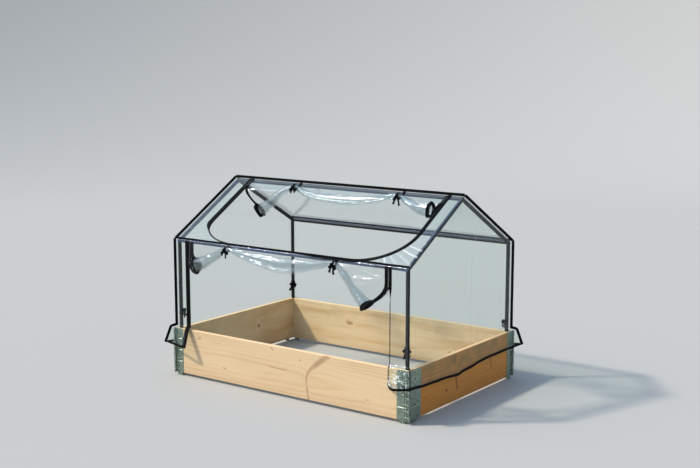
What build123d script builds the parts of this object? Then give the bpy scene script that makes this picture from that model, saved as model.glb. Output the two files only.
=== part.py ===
from build123d import *
import os
from math import atan2, cos, degrees, pi, sin, sqrt, tan

os.makedirs("parts", exist_ok=True)

# A raised bed of four hinged pine boards, with a clear film house on a tube frame.
# X runs along the ridge, Y across it and Z up. The zipped front faces -Y.
# The origin lies on the ground, at the centre of the bed.

# Bed boards
bed_length = 1200.0
bed_width = 800.0
board_height = 195.0
board_thickness = 20.0
board_rounding = 2.0
board_joint_gap = 0.5
bed_lift = 12.0

# Corner hinges, pressed from sheet steel and rolled round a pin
leaf_thickness = 1.5
wide_leaf_along_front = 52.0
wide_leaf_along_side = 84.0
narrow_leaf = 38.0
leaf_edge_gap = 1.0
leaf_corner_rounding = 3.0
pin_diameter = 6.4
pin_clearance = 0.3
pin_head_diameter = 9.0
pin_head_height = 1.6
knuckle_count = 7
knuckle_gap = 0.5
rivet_hole_diameter = 5.0
rivet_hole_count = 3
rivet_hole_first = 57.0
rivet_hole_pitch = 50.0
rib_drop = 8.5
rib_width = 7.0
rib_height = 1.8
rib_margin = 4.0
tab_width = 26.0
tab_margin = 6.0
tab_rounding = 5.0

# Tube frame
tube_diameter = 16.0
tube_wall = 1.0
tube_inset = 16.0
eave_height = 590.0
ridge_height = 814.0
hub_length = 14.0
hub_stub = 4.0
spigot_length = 26.0
spigot_clearance = 0.2
foot_thickness = 3.0

# Film cover
film_thickness = 1.0
film_gap = 0.4
panel_gap = 0.3
ridge_gap = 0.8
skirt_bend = 42.0
skirt_rim = 4.0
skirt_rest = 2.8
skirt_knuckle_gap = 2.0
hem_flare = 17.0
hem_tight_flare = 1.0
hem_spread = 1.5
hem_tape_height = 12.0
hem_corner_lift = 16.0
hem_zip_drop = 4.5
hem_sag = 2.0
hinge_margin = 16.0
hem_tape_thickness = 2.0
skirt_depth = 79.0

# Seam tapes stand out from every fold of the cover
seam_width = 10.0
seam_thickness = 2.0
seam_gap = 0.4

# Zips
zip_tape_width = 15.0
zip_tape_thickness = 1.6
zip_closed_width = 32.0
zip_closed_length = 80.0
front_left_strip = 58.0
front_right_strip = 76.0
roof_tape_width = 12.0
roof_zip_closed_width = 18.0

# Opening in the front slope
roof_left_strip = 88.0
roof_right_strip = 62.0
opening_top = 60.0
opening_eave_gap = 1.5
left_curve_along = 205.0
left_curve_up = 132.0
right_curve_along = 214.0
right_curve_up = 190.0

# Rolled flaps and their tie tapes
roll_sides = 10
roll_gap = 0.6
roll_neck_radius = 10.5
front_roll_out = 17.0
front_tie_drop = 13.5
roof_tie_drop = 48.0
roof_tie_lift = 14.0
tie_width = 12.0
tie_thickness = 1.5
tie_gap = 0.4
tie_tail_length = 42.0
tie_tail_width = 9.0
tie_tail_spread = 9.0
tie_knot = 9.0
post_tie_height = 285.0

# Values that follow from those above
tube_radius = tube_diameter / 2
post_x = bed_length / 2 - tube_inset
post_y = bed_width / 2 - tube_inset
bed_top = bed_lift + board_height
pitch = atan2(ridge_height - eave_height, post_y)
film_reach = tube_radius + film_gap + film_thickness
wall_x = post_x + film_reach
wall_y = post_y + film_reach
fold_height = eave_height + film_reach / cos(pitch) - film_reach * tan(pitch)
ridge_fold_height = ridge_height + film_reach / cos(pitch)
slope_length = wall_y / cos(pitch)
pin_radius = pin_diameter / 2
knuckle_inner = pin_radius + pin_clearance
knuckle_outer = knuckle_inner + leaf_thickness
knuckle_pitch = board_height / knuckle_count
rim_height = bed_top + skirt_rim
bend_height = bed_top + skirt_bend
hem_height = bed_top - skirt_depth
front_zip_left = wall_x - front_left_strip - zip_tape_width
front_zip_right = wall_x - front_right_strip - zip_tape_width
opening_left = wall_x - roof_left_strip - roof_tape_width
opening_right = wall_x - roof_right_strip - roof_tape_width


def keep(builder, name):
    builder.part.label = name
    export_step(builder.part, f"parts/{name}.step")


# Boards: the long ones run the full length and the short ones stand between them
for name, side in (("board_front", -1), ("board_back", 1)):
    with BuildPart() as board:
        with BuildSketch(Plane.XY.offset(bed_lift)):
            with Locations((0, side * (bed_width - board_thickness) / 2)):
                Rectangle(bed_length, board_thickness)
        extrude(amount=board_height)
        fillet(board.edges().filter_by(Axis.X), radius=board_rounding)
    keep(board, name)

short_board = bed_width - 2 * board_thickness - 2 * board_joint_gap
for name, side in (("board_left", -1), ("board_right", 1)):
    with BuildPart() as board:
        with BuildSketch(Plane.XY.offset(bed_lift)):
            with Locations((side * (bed_length - board_thickness) / 2, 0)):
                Rectangle(board_thickness, short_board)
        extrude(amount=board_height)
        fillet(board.edges().filter_by(Axis.Y), radius=board_rounding)
    keep(board, name)


# A hinge leaf, drawn for a board that comes to the corner along -X with its face on Y = 0.
# The plate lies on the face and every other knuckle is rolled from it round the pin.
def hinge_leaf(leaf_width, first_knuckle):
    plate_end = -leaf_edge_gap
    plate_middle = (plate_end - leaf_width) / 2
    with BuildPart() as leaf:
        with BuildSketch(Plane.XZ) as plate:
            with Locations((plate_middle, bed_lift + board_height / 2)):
                Rectangle(leaf_width - leaf_edge_gap, board_height)
            outer = plate.vertices().group_by(Axis.X)[0]
            fillet(outer, radius=leaf_corner_rounding)
            with Locations((plate_middle, bed_lift)):
                Rectangle(min(tab_width, leaf_width - 2 * tab_margin), 2 * bed_lift)
            fillet(plate.vertices().group_by(Axis.Y)[0], radius=tab_rounding)
            for row in range(rivet_hole_count):
                with Locations((plate_middle, bed_lift + rivet_hole_first + row * rivet_hole_pitch)):
                    Circle(rivet_hole_diameter / 2, mode=Mode.SUBTRACT)
        extrude(amount=leaf_thickness)
        # Pressed ribs stiffen the plate below each rivet
        for row in range(rivet_hole_count):
            height = bed_lift + rivet_hole_first + row * rivet_hole_pitch - rib_drop
            with BuildSketch(Plane.YZ.offset(-leaf_width + rib_margin)):
                with BuildLine():
                    low = (-leaf_thickness, height - rib_width / 2)
                    high = (-leaf_thickness, height + rib_width / 2)
                    ThreePointArc(low, (-leaf_thickness - rib_height, height), high)
                    Line(high, low)
                make_face()
            extrude(amount=leaf_width - leaf_edge_gap - 2 * rib_margin)
        for number in range(first_knuckle, knuckle_count, 2):
            base = bed_lift + number * knuckle_pitch + knuckle_gap / 2
            with BuildSketch(Plane.XY.offset(base)):
                with Locations((plate_end / 2, -leaf_thickness / 2)):
                    Rectangle(3 * leaf_edge_gap, leaf_thickness)
                with Locations((knuckle_outer / 2, -leaf_thickness / 2)):
                    Rectangle(knuckle_outer, leaf_thickness)
                with Locations((knuckle_outer, -knuckle_outer)):
                    Circle(knuckle_outer)
                    Circle(knuckle_inner, mode=Mode.SUBTRACT)
            extrude(amount=knuckle_pitch - knuckle_gap)
    return leaf.part


# The leaf on the short board's face is the same drawing, mirrored in the corner's diagonal
corner_diagonal = Plane(origin=(0, 0, 0), z_dir=(1, 1, 0))
corner_place = Location((bed_length / 2, -bed_width / 2, 0))
corners = (
    ("front_right", 1, -1, wide_leaf_along_front, wide_leaf_along_side),
    ("front_left", -1, -1, narrow_leaf, narrow_leaf),
    ("back_left", -1, 1, wide_leaf_along_front, wide_leaf_along_side),
    ("back_right", 1, 1, narrow_leaf, narrow_leaf),
)
for corner, side_x, side_y, long_leaf, short_leaf in corners:
    long_drawing = hinge_leaf(long_leaf, 0)
    short_drawing = mirror(hinge_leaf(short_leaf, 1), about=corner_diagonal)
    for board_kind, drawing in (("long", long_drawing), ("short", short_drawing)):
        placed = drawing.moved(corner_place)
        if side_x < 0:
            placed = mirror(placed, about=Plane.YZ)
        if side_y > 0:
            placed = mirror(placed, about=Plane.XZ)
        with BuildPart() as hinge:
            add(placed)
        keep(hinge, f"hinge_leaf_{corner}_{board_kind}")

pin_x = bed_length / 2 + knuckle_outer
pin_y = bed_width / 2 + knuckle_outer
with BuildPart() as hinge_pins:
    for corner, side_x, side_y, long_leaf, short_leaf in corners:
        with BuildSketch(Plane.XY.offset(bed_lift)):
            with Locations((side_x * pin_x, side_y * pin_y)):
                Circle(pin_radius)
        extrude(amount=board_height)
        with BuildSketch(Plane.XY.offset(bed_top)):
            with Locations((side_x * pin_x, side_y * pin_y)):
                Circle(pin_head_diameter / 2)
        extrude(amount=pin_head_height)
keep(hinge_pins, "hinge_pins")


# Tube frame: plain tubes between plastic corner pieces, whose spigots enter the tubes
def tube(start, end):
    run = Vector(*end) - Vector(*start)
    with BuildPart() as pipe:
        with BuildSketch(Plane(origin=start, z_dir=run)):
            Circle(tube_radius)
            Circle(tube_radius - tube_wall, mode=Mode.SUBTRACT)
        extrude(amount=run.length)
    return pipe.part


# Each arm runs through the node and ends in a short stub behind it
def corner_piece(node, directions):
    with BuildPart() as piece:
        for direction in directions:
            arm = Plane(origin=node, z_dir=direction)
            with BuildSketch(arm.offset(-hub_stub)):
                Circle(tube_radius)
            extrude(amount=hub_stub + hub_length)
            with BuildSketch(arm.offset(hub_length)):
                Circle(tube_radius - tube_wall - spigot_clearance)
            extrude(amount=spigot_length)
    return piece.part


def along(point, direction, distance):
    return tuple(p + d * distance for p, d in zip(point, direction))


for corner, side_x, side_y, long_leaf, short_leaf in corners:
    eave = (side_x * post_x, side_y * post_y, eave_height)
    ridge = (side_x * post_x, 0, ridge_height)
    rise = (0, -side_y * cos(pitch), sin(pitch))
    inward = (-side_x, 0, 0)
    with BuildPart() as post:
        foot_top = (eave[0], eave[1], bed_top + foot_thickness)
        add(tube(foot_top, along(eave, (0, 0, -1), hub_length)))
    keep(post, f"post_{corner}")
    with BuildPart() as rafter:
        add(tube(along(eave, rise, hub_length), along(ridge, rise, -hub_length)))
    keep(rafter, f"rafter_{corner}")
    with BuildPart() as connector:
        add(corner_piece(eave, ((0, 0, -1), rise, inward)))
    keep(connector, f"eave_connector_{corner}")

bar_end = post_x - hub_length
bars = (
    ("eave_bar_front", -post_y, eave_height),
    ("eave_bar_back", post_y, eave_height),
    ("ridge_bar", 0, ridge_height),
)
for name, y, z in bars:
    with BuildPart() as bar:
        add(tube((-bar_end, y, z), (bar_end, y, z)))
    keep(bar, name)

for name, side_x in (("ridge_connector_left", -1), ("ridge_connector_right", 1)):
    with BuildPart() as connector:
        falls = ((0, -cos(pitch), -sin(pitch)), (0, cos(pitch), -sin(pitch)))
        add(corner_piece((side_x * post_x, 0, ridge_height), (*falls, (-side_x, 0, 0))))
    keep(connector, name)

with BuildPart() as post_feet:
    for corner, side_x, side_y, long_leaf, short_leaf in corners:
        with BuildSketch(Plane.XY.offset(bed_top)):
            with Locations((side_x * post_x, side_y * post_y)):
                Circle(tube_radius)
        extrude(amount=foot_thickness)
        with BuildSketch(Plane.XY.offset(bed_top + foot_thickness)):
            with Locations((side_x * post_x, side_y * post_y)):
                Circle(tube_radius - tube_wall - spigot_clearance)
        extrude(amount=spigot_length)
keep(post_feet, "post_feet")


# Walls of the cover. A wall's film hangs straight to the bend, slants out over the bed's
# rim and ends in a hem outside the boards. It is lofted through upright sections, and a
# section at a corner lies on the mitre, so its outward distances are stretched by sqrt(2).
corner_rim = bed_length / 2 + 2 * knuckle_outer + skirt_knuckle_gap - wall_x
board_rim = bed_length / 2 + skirt_rest - wall_x
tight_hem = corner_rim + hem_tight_flare
flared_hem = corner_rim + hem_flare
board_hem = board_rim + hem_spread


def roof_underside(y):
    return ridge_fold_height - (film_thickness / cos(pitch)) - abs(y) * tan(pitch) - panel_gap


def station(origin, outward, top, rim, hem, hem_z, mitre=False):
    stretch = sqrt(2) if mitre else 1.0
    plane = Plane(origin=(*origin, 0), x_dir=(*outward, 0), z_dir=(outward[1], -outward[0], 0))
    return {"plane": plane, "stretch": stretch, "top": top, "rim": rim, "hem": hem, "hem_z": hem_z}


def reach_at(stop, z):
    span = (rim_height - z) / (rim_height - stop["hem_z"])
    return stop["rim"] + (stop["hem"] - stop["rim"]) * span


def film_outline(stop):
    end = stop["hem_z"] + hem_tape_height + panel_gap
    outer = [(0, stop["top"]), (0, bend_height), (stop["rim"], rim_height), (reach_at(stop, end), end)]
    inner = [(reach - film_thickness, z) for reach, z in reversed(outer)]
    return [(reach * stop["stretch"], z) for reach, z in outer + inner]


def hem_outline(stop):
    top = stop["hem_z"] + hem_tape_height
    inner = [(reach_at(stop, top) - film_thickness, top), (stop["hem"] - film_thickness, stop["hem_z"])]
    outer = [(reach + hem_tape_thickness, z) for reach, z in reversed(inner)]
    return [(reach * stop["stretch"], z) for reach, z in inner + outer]


def wall_loft(stops, outline):
    with BuildPart() as wall:
        for stop in stops:
            with BuildSketch(stop["plane"]):
                with BuildLine():
                    Polyline(*outline(stop), close=True)
                make_face()
        loft(ruled=True)
    return wall.part


# Sections of the right gable, from front to back, with the heights of its hem
wide_leaf_end = bed_width / 2 - wide_leaf_along_side - hinge_margin
gable_rest = wide_leaf_end / 1.75
hem_kink = wide_leaf_end / 8
wall_corner = wall_y - panel_gap


def gable_stops(side_x, front_hem, back_hem, middle):
    wall = side_x * wall_x
    half = 1 / sqrt(2)
    edge = roof_underside(wall_y)
    front = station((wall, -wall_corner), (side_x * half, -half), edge, *front_hem, True)
    back = station((wall, wall_corner), (side_x * half, half), edge, *back_hem, True)
    between = [
        station((wall, y), (side_x, 0), roof_underside(y), board_rim, board_hem, z)
        for y, z in middle
    ]
    return [front, *between, back]


right_hem_line = (
    (-wide_leaf_end, hem_height - 1.5 * hem_sag),
    (-gable_rest, hem_height - 3.5 * hem_sag),
    (-hem_kink, hem_height - 8 * hem_sag),
    (0, hem_height - 5 * hem_sag),
    (gable_rest, hem_height + 2 * hem_sag),
    (wide_leaf_end, hem_height + 2.5 * hem_sag),
)
left_hem_line = (
    (-wide_leaf_end, hem_height + 2 * hem_sag),
    (0, hem_height),
    (wide_leaf_end, hem_height + 2 * hem_sag),
)
front_right_hem = (corner_rim, tight_hem, hem_height + hem_corner_lift / 2)
flared_corner_hem = (corner_rim, flared_hem, hem_height + hem_corner_lift)
right_stops = gable_stops(1, front_right_hem, flared_corner_hem, right_hem_line)
left_stops = gable_stops(-1, flared_corner_hem, flared_corner_hem, left_hem_line)

with BuildPart() as right_gable:
    add(wall_loft(right_stops, film_outline))
keep(right_gable, "right_gable_film")

with BuildPart() as left_gable:
    add(wall_loft(left_stops, film_outline))
keep(left_gable, "left_gable_film")

# Back wall
half = 1 / sqrt(2)
eave_edge = roof_underside(wall_y)
side_corner = wall_x - panel_gap
long_rest = bed_length / 2 - wide_leaf_along_side - hinge_margin
back_stops = [
    station((-side_corner, wall_y), (-half, half), eave_edge, *flared_corner_hem, True),
    station((-long_rest, wall_y), (0, 1), eave_edge, board_rim, board_hem, hem_height + hem_sag),
    station((0, wall_y), (0, 1), eave_edge, board_rim, board_hem, hem_height - hem_sag),
    station((long_rest, wall_y), (0, 1), eave_edge, board_rim, board_hem, hem_height + hem_sag),
    station((side_corner, wall_y), (half, half), eave_edge, *flared_corner_hem, True),
]
with BuildPart() as back_wall:
    add(wall_loft(back_stops, film_outline))
keep(back_wall, "back_wall_film")

# Front wall: two strips are left beside the zips, and the flap between them is rolled up
strip_left = front_zip_left + zip_tape_width + panel_gap
strip_right = front_zip_right + zip_tape_width + panel_gap
left_zip_hem = corner_rim + hem_spread
zip_hem_height = hem_height - hem_zip_drop
left_strip_stops = [
    station((-side_corner, -wall_y), (-half, -half), eave_edge, *flared_corner_hem, True),
    station((-strip_left, -wall_y), (0, -1), eave_edge, corner_rim, left_zip_hem, zip_hem_height),
]
right_strip_stops = [
    station((strip_right, -wall_y), (0, -1), eave_edge, board_rim, board_hem, zip_hem_height),
    station((side_corner, -wall_y), (half, -half), eave_edge, *front_right_hem, True),
]
with BuildPart() as left_strip:
    add(wall_loft(left_strip_stops, film_outline))
keep(left_strip, "front_left_film")

with BuildPart() as right_strip:
    add(wall_loft(right_strip_stops, film_outline))
keep(right_strip, "front_right_film")

with BuildPart() as hem_tapes:
    add(wall_loft(right_stops, hem_outline))
    add(wall_loft(left_stops, hem_outline))
    add(wall_loft(back_stops, hem_outline))
    add(wall_loft(left_strip_stops, hem_outline))
    add(wall_loft(right_strip_stops, hem_outline))
keep(hem_tapes, "hem_tapes")


# Zips down the front: the closed part under the eave is two tapes wide, and below it only
# the tape sewn to the strip goes on down to the hem
def zip_outline(stop, end):
    path = [(0, stop["top"]), (0, bend_height), (stop["rim"], rim_height), (reach_at(stop, end), end)]
    inner = [(reach - film_thickness, z) for reach, z in path]
    outer = [(reach + zip_tape_thickness, z) for reach, z in reversed(inner)]
    return inner + outer


with BuildPart() as front_zips:
    for side, place, stop in (
        (-1, front_zip_left, left_strip_stops[1]),
        (1, front_zip_right, right_strip_stops[0]),
    ):
        edge = side * (place + zip_tape_width)
        upright = Plane(origin=(edge, -wall_y, 0), x_dir=(0, -1, 0), z_dir=(-1, 0, 0))
        closed = stop["top"] - zip_closed_length
        with BuildSketch(upright):
            with BuildLine():
                Polyline(*zip_outline(stop, stop["hem_z"]), close=True)
            make_face()
        extrude(amount=side * zip_tape_width)
        with BuildSketch(upright):
            with Locations((zip_tape_thickness / 2 - film_thickness, (stop["top"] + closed) / 2)):
                Rectangle(zip_tape_thickness, zip_closed_length)
        extrude(amount=side * zip_closed_width)
keep(front_zips, "front_zips")


# Roof slopes. The opening in the front one is a wide U with long curves at the eave.
def slope_plane(side_y, offset=0.0):
    normal = (0, side_y * sin(pitch), cos(pitch))
    place = (0, side_y * (wall_y + offset * sin(pitch)), fold_height + offset * cos(pitch))
    return Plane(origin=place, x_dir=(-side_y, 0, 0), z_dir=normal)


def opening_face(grow):
    left = -opening_left - grow
    right = opening_right + grow
    top = slope_length - opening_top + grow
    bottom = opening_eave_gap + roof_tape_width - grow
    with BuildSketch(mode=Mode.PRIVATE) as face:
        with BuildLine():
            left_along = left_curve_along + grow
            left_up = left_curve_up + grow
            right_along = right_curve_along + grow
            right_up = right_curve_up + grow
            Line((left, top), (left, bottom + left_up))
            EllipticalCenterArc((left + left_along, bottom + left_up), left_along, left_up, 180, arc_size=90)
            Line((left + left_along, bottom), (right - right_along, bottom))
            EllipticalCenterArc((right - right_along, bottom + right_up), right_along, right_up, 270, arc_size=90)
            Line((right, bottom + right_up), (right, top))
            Line((right, top), (left, top))
        make_face()
    return face.sketch


with BuildPart() as back_slope:
    with BuildSketch(slope_plane(1)):
        with Locations((0, (slope_length - ridge_gap) / 2)):
            Rectangle(2 * wall_x, slope_length - ridge_gap)
    extrude(amount=-film_thickness)
keep(back_slope, "back_roof_film")

with BuildPart() as front_slope:
    with BuildSketch(slope_plane(-1)):
        with Locations((0, (slope_length - ridge_gap) / 2)):
            Rectangle(2 * wall_x, slope_length - ridge_gap)
        add(opening_face(roof_tape_width + panel_gap), mode=Mode.SUBTRACT)
        # Below the curves the film ends where the zip meets the eave
        with Locations(((opening_right - opening_left) / 2, 0)):
            straight = opening_left + opening_right - left_curve_along - right_curve_along
            Rectangle(straight, 2 * opening_eave_gap + 1, mode=Mode.SUBTRACT)
    extrude(amount=-film_thickness)
keep(front_slope, "front_roof_film")

# The zip round the opening, and its closed ends that run on to the ridge over the film
with BuildPart() as roof_zip:
    with BuildSketch(slope_plane(-1, -film_thickness)):
        add(opening_face(roof_tape_width))
        add(opening_face(0), mode=Mode.SUBTRACT)
        with Locations(((opening_right - opening_left) / 2, slope_length - opening_top)):
            Rectangle(opening_left + opening_right, 3 * roof_tape_width, mode=Mode.SUBTRACT)
    extrude(amount=zip_tape_thickness)
    with BuildSketch(slope_plane(-1, panel_gap)):
        for place in (-opening_left, opening_right):
            with Locations((place, slope_length - opening_top / 2)):
                Rectangle(roof_zip_closed_width, opening_top - 2 * seam_thickness)
    extrude(amount=zip_tape_thickness)
keep(roof_zip, "roof_zip")


# Seam tapes: each stands in the plane that halves the fold
def seam(start, end, outward):
    run = Vector(*end) - Vector(*start)
    out = Vector(*outward).normalized()
    base = Vector(*start) + out * seam_gap
    with BuildPart() as tape:
        with BuildSketch(Plane(origin=base, x_dir=run, z_dir=run.cross(out))):
            with Locations((run.length / 2, seam_width / 2)):
                Rectangle(run.length, seam_width)
        extrude(amount=seam_thickness / 2, both=True)
    return tape.part


def corner_seam(side_x, side_y, stop):
    diagonal = Plane(
        origin=(side_x * wall_x, side_y * wall_y, 0),
        x_dir=(side_x, side_y, 0),
        z_dir=(side_y, -side_x, 0),
    )
    path = [(0, fold_height - seam_width), (0, bend_height), (stop["rim"], rim_height)]
    path.append((stop["hem"], stop["hem_z"]))
    inner = [(reach * sqrt(2) + seam_gap + seam_thickness / 2, z) for reach, z in path]
    outer = [(reach + seam_width, z) for reach, z in reversed(inner)]
    with BuildPart() as tape:
        with BuildSketch(diagonal):
            with BuildLine():
                Polyline(*inner, *outer, close=True)
            make_face()
        extrude(amount=seam_thickness / 2, both=True)
    return tape.part


seam_end = wall_x - 2 * seam_thickness
corner_stops = {
    (1, -1): right_stops[0],
    (1, 1): right_stops[-1],
    (-1, -1): left_stops[0],
    (-1, 1): left_stops[-1],
}
with BuildPart() as seam_tapes:
    for (side_x, side_y), stop in corner_stops.items():
        add(corner_seam(side_x, side_y, stop))
        low = (side_x * wall_x, side_y * wall_y, fold_height)
        high = (side_x * wall_x, side_y * seam_thickness, ridge_fold_height - seam_thickness * tan(pitch))
        add(seam(low, high, (side_x, side_y * sin(pitch), cos(pitch))))
    for side_y in (-1, 1):
        low = (-seam_end, side_y * wall_y, fold_height)
        high = (seam_end, side_y * wall_y, fold_height)
        add(seam(low, high, (0, side_y * (1 + sin(pitch)), cos(pitch))))
    add(seam((-seam_end, 0, ridge_fold_height), (seam_end, 0, ridge_fold_height), (0, 0, 1)))
keep(seam_tapes, "seam_tapes")


# Rolled flaps, lofted through sections set square to the roll's line, with a straight neck
# at each tie. A section's place is a share of the flap's width to its side of the middle.
# The front roll's next figure is its drop below the eave's fold, and the roof roll's are
# its distance below the ridge and its lift off the slope. Half its depth and height follow.
neck = roll_neck_radius
front_roll_line = (
    (-0.927, 104.0, 24.0, 28.0),
    (-0.800, 76.0, 21.0, 23.0),
    (-0.683, 46.0, 16.0, 17.0),
    (-0.562, front_tie_drop, neck, neck),
    (-0.425, 23.0, 12.0, 16.0),
    (-0.219, 37.0, 15.0, 26.0),
    (-0.019, 45.0, 16.0, 30.0),
    (0.179, 39.0, 15.0, 27.0),
    (0.371, 24.0, 12.0, 17.0),
    (0.520, front_tie_drop, neck, neck),
    (0.614, 49.0, 15.0, 15.0),
    (0.717, 109.0, 21.0, 20.0),
    (0.830, 162.0, 26.0, 24.0),
)
roof_roll_line = (
    (-0.800, 138.0, -70.0, 27.0, 28.0),
    (-0.680, 117.0, -38.0, 23.0, 24.0),
    (-0.575, 82.0, 0.0, 15.0, 16.0),
    (-0.447, roof_tie_drop, roof_tie_lift, neck, neck),
    (-0.335, 73.0, 11.5, 12.0, 15.0),
    (-0.183, 89.0, 6.0, 14.0, 17.0),
    (0.000, 93.0, 3.5, 15.0, 19.0),
    (0.193, 93.0, 3.5, 15.0, 19.0),
    (0.410, 79.0, 9.5, 13.0, 16.0),
    (0.605, roof_tie_drop, roof_tie_lift, neck, neck),
    (0.715, 74.0, 9.0, 15.0, 17.0),
    (0.825, 92.0, -2.0, 22.0, 24.0),
    (0.945, 96.0, -10.0, 27.0, 31.0),
)


def front_roll_place(share, drop):
    width = front_zip_left if share < 0 else front_zip_right
    return Vector(share * width, -wall_y - front_roll_out, fold_height - drop)


def roof_roll_place(share, below, lift):
    width = opening_left if share < 0 else opening_right
    local = (share * width, slope_length - below, lift)
    return slope_plane(-1).from_local_coords(Vector(*local))


front_roll = [(front_roll_place(*stop[:2]), *stop[2:]) for stop in front_roll_line]
roof_roll = [(roof_roll_place(*stop[:3]), *stop[3:]) for stop in roof_roll_line]
neck_reach = Vector(tie_width / 2 + roll_gap, 0, 0)


def roll(line):
    sections = []
    for number, (centre, depth, tall) in enumerate(line):
        if depth == neck:
            sections.append((centre - neck_reach, Vector(1, 0, 0), depth, tall))
            sections.append((centre + neck_reach, Vector(1, 0, 0), depth, tall))
        else:
            before = line[max(number - 1, 0)][0]
            after = line[min(number + 1, len(line) - 1)][0]
            sections.append((centre, after - before, depth, tall))
    with BuildPart() as rolled_film:
        for centre, direction, depth, tall in sections:
            with BuildSketch(Plane(origin=centre, x_dir=(0, 1, 0), z_dir=direction)):
                with BuildLine():
                    turns = [Vector(1, 0).rotate(Axis.Z, step * 360 / roll_sides) for step in range(roll_sides)]
                    Polyline(*[(turn.X * depth, turn.Y * tall) for turn in turns], close=True)
                make_face()
        loft(ruled=True)
    return rolled_film.part


with BuildPart() as front_flap_roll:
    add(roll(front_roll))
keep(front_flap_roll, "front_flap_roll")

with BuildPart() as roof_flap_roll:
    add(roll(roof_roll))
keep(roof_flap_roll, "roof_flap_roll")


# Tie tapes: a band round the roll or post, a knot in front of it and two hanging tails
def knot_and_tails(place, facing):
    front = Plane(origin=place, x_dir=(-facing[1], facing[0], 0), z_dir=(*facing, 0))
    with BuildPart() as bow:
        with BuildSketch(front.offset(-tie_thickness / 4)):
            RectangleRounded(tie_knot, tie_knot, tie_thickness)
        extrude(amount=2.25 * tie_thickness)
        for side in (-1, 1):
            with BuildSketch(front):
                with BuildLine():
                    spread = side * tie_tail_spread
                    across = side * tie_tail_width
                    foot = (spread + across, -tie_tail_length)
                    Polyline((0, 0), (across, 0), foot, (spread, -tie_tail_length), close=True)
                make_face()
            extrude(amount=tie_thickness)
    return bow.part


def band(place):
    with BuildPart() as loop:
        with BuildSketch(Plane(origin=place, x_dir=(0, 1, 0), z_dir=(1, 0, 0))):
            Circle(neck + roll_gap + tie_thickness)
            Circle(neck + roll_gap, mode=Mode.SUBTRACT)
        extrude(amount=tie_width / 2, both=True)
    return loop.part


front_tied = [stop[0] for stop in front_roll if stop[1] == neck]
roof_tied = [stop[0] for stop in roof_roll if stop[1] == neck]
knot_out = Vector(0, -neck - roll_gap - tie_thickness / 2, 0)
post_band = tube_radius + tie_gap
with BuildPart() as tie_tapes:
    for place in front_tied:
        add(band(place))
        add(knot_and_tails(place + knot_out, (0, -1)))
        # A short strap joins the band to the eave seam above it
        strap_foot = place.Z + 2 * tie_thickness
        seam_slant = (pi / 2 - pitch) / 2
        seam_underside = seam_width / 2 * tan(seam_slant) - seam_thickness / 2 / cos(seam_slant)
        strap_top = fold_height + seam_underside - tie_gap
        strap_plane = Plane(origin=(place.X, -wall_y - seam_width / 2, 0), x_dir=(1, 0, 0), z_dir=(0, -1, 0))
        with BuildSketch(strap_plane):
            with Locations((0, (strap_foot + strap_top) / 2)):
                Rectangle(tie_width, strap_top - strap_foot)
        extrude(amount=tie_thickness)
    for place in roof_tied:
        add(band(place))
        add(knot_and_tails(place + knot_out, (0, -1)))
        # The band's strap lies on the slope, up to the ridge seam
        with BuildSketch(slope_plane(-1, tie_gap)):
            with Locations((place.X, slope_length - (roof_tie_drop + seam_thickness) / 2)):
                Rectangle(tie_width, roof_tie_drop - seam_thickness)
        extrude(amount=tie_thickness)
    for corner, side_x, side_y, long_leaf, short_leaf in corners:
        # Half a band holds the cover to the post, on the side away from the film
        facing = (-side_x / sqrt(2), -side_y / sqrt(2))
        with BuildSketch(Plane.XY.offset(post_tie_height - tie_width / 2)):
            with Locations((side_x * post_x, side_y * post_y)):
                Circle(post_band + tie_thickness)
                Circle(post_band, mode=Mode.SUBTRACT)
            edge_x = side_x * (post_x + tube_radius / sqrt(2))
            edge_y = side_y * (post_y + tube_radius / sqrt(2))
            with Locations(Location((edge_x, edge_y), 45)):
                Rectangle(3 * tube_radius, 3 * tube_radius, mode=Mode.SUBTRACT)
        extrude(amount=tie_width)
        reach = post_band + tie_thickness / 2
        knot = (side_x * post_x + facing[0] * reach, side_y * post_y + facing[1] * reach)
        add(knot_and_tails(Vector(*knot, post_tie_height), facing))
keep(tie_tapes, "tie_tapes")

print("pitch", round(degrees(pitch), 2), "slope", round(slope_length, 1), "fold", round(fold_height, 1))
print("wall", round(wall_x, 1), round(wall_y, 1), "ridge fold", round(ridge_fold_height, 1))
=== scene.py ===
from functools import partial
from math import atan2, cos, pi, radians, sin, tan
import bpy
import numpy as np
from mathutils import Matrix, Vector


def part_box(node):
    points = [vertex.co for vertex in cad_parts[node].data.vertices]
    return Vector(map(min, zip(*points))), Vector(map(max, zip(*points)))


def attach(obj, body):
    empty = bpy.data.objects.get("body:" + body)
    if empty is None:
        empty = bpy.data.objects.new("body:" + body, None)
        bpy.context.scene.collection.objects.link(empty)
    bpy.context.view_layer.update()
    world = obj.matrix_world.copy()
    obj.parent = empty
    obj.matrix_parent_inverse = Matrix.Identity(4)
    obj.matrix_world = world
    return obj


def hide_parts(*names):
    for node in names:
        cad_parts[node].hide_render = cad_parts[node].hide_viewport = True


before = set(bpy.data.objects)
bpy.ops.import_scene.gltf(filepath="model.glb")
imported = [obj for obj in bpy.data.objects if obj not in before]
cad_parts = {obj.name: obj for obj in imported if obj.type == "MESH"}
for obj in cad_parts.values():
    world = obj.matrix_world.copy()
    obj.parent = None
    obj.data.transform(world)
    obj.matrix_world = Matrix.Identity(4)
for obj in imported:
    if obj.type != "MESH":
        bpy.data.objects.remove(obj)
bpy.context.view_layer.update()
scene = bpy.context.scene
scene.cycles.transparent_max_bounces = 40  # a rolled flap is a dozen layers of clear film deep
print("frame loaded:", len(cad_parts), "nodes")


def centreOf(node):
    low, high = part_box(node)
    return (low + high) / 2


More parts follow.
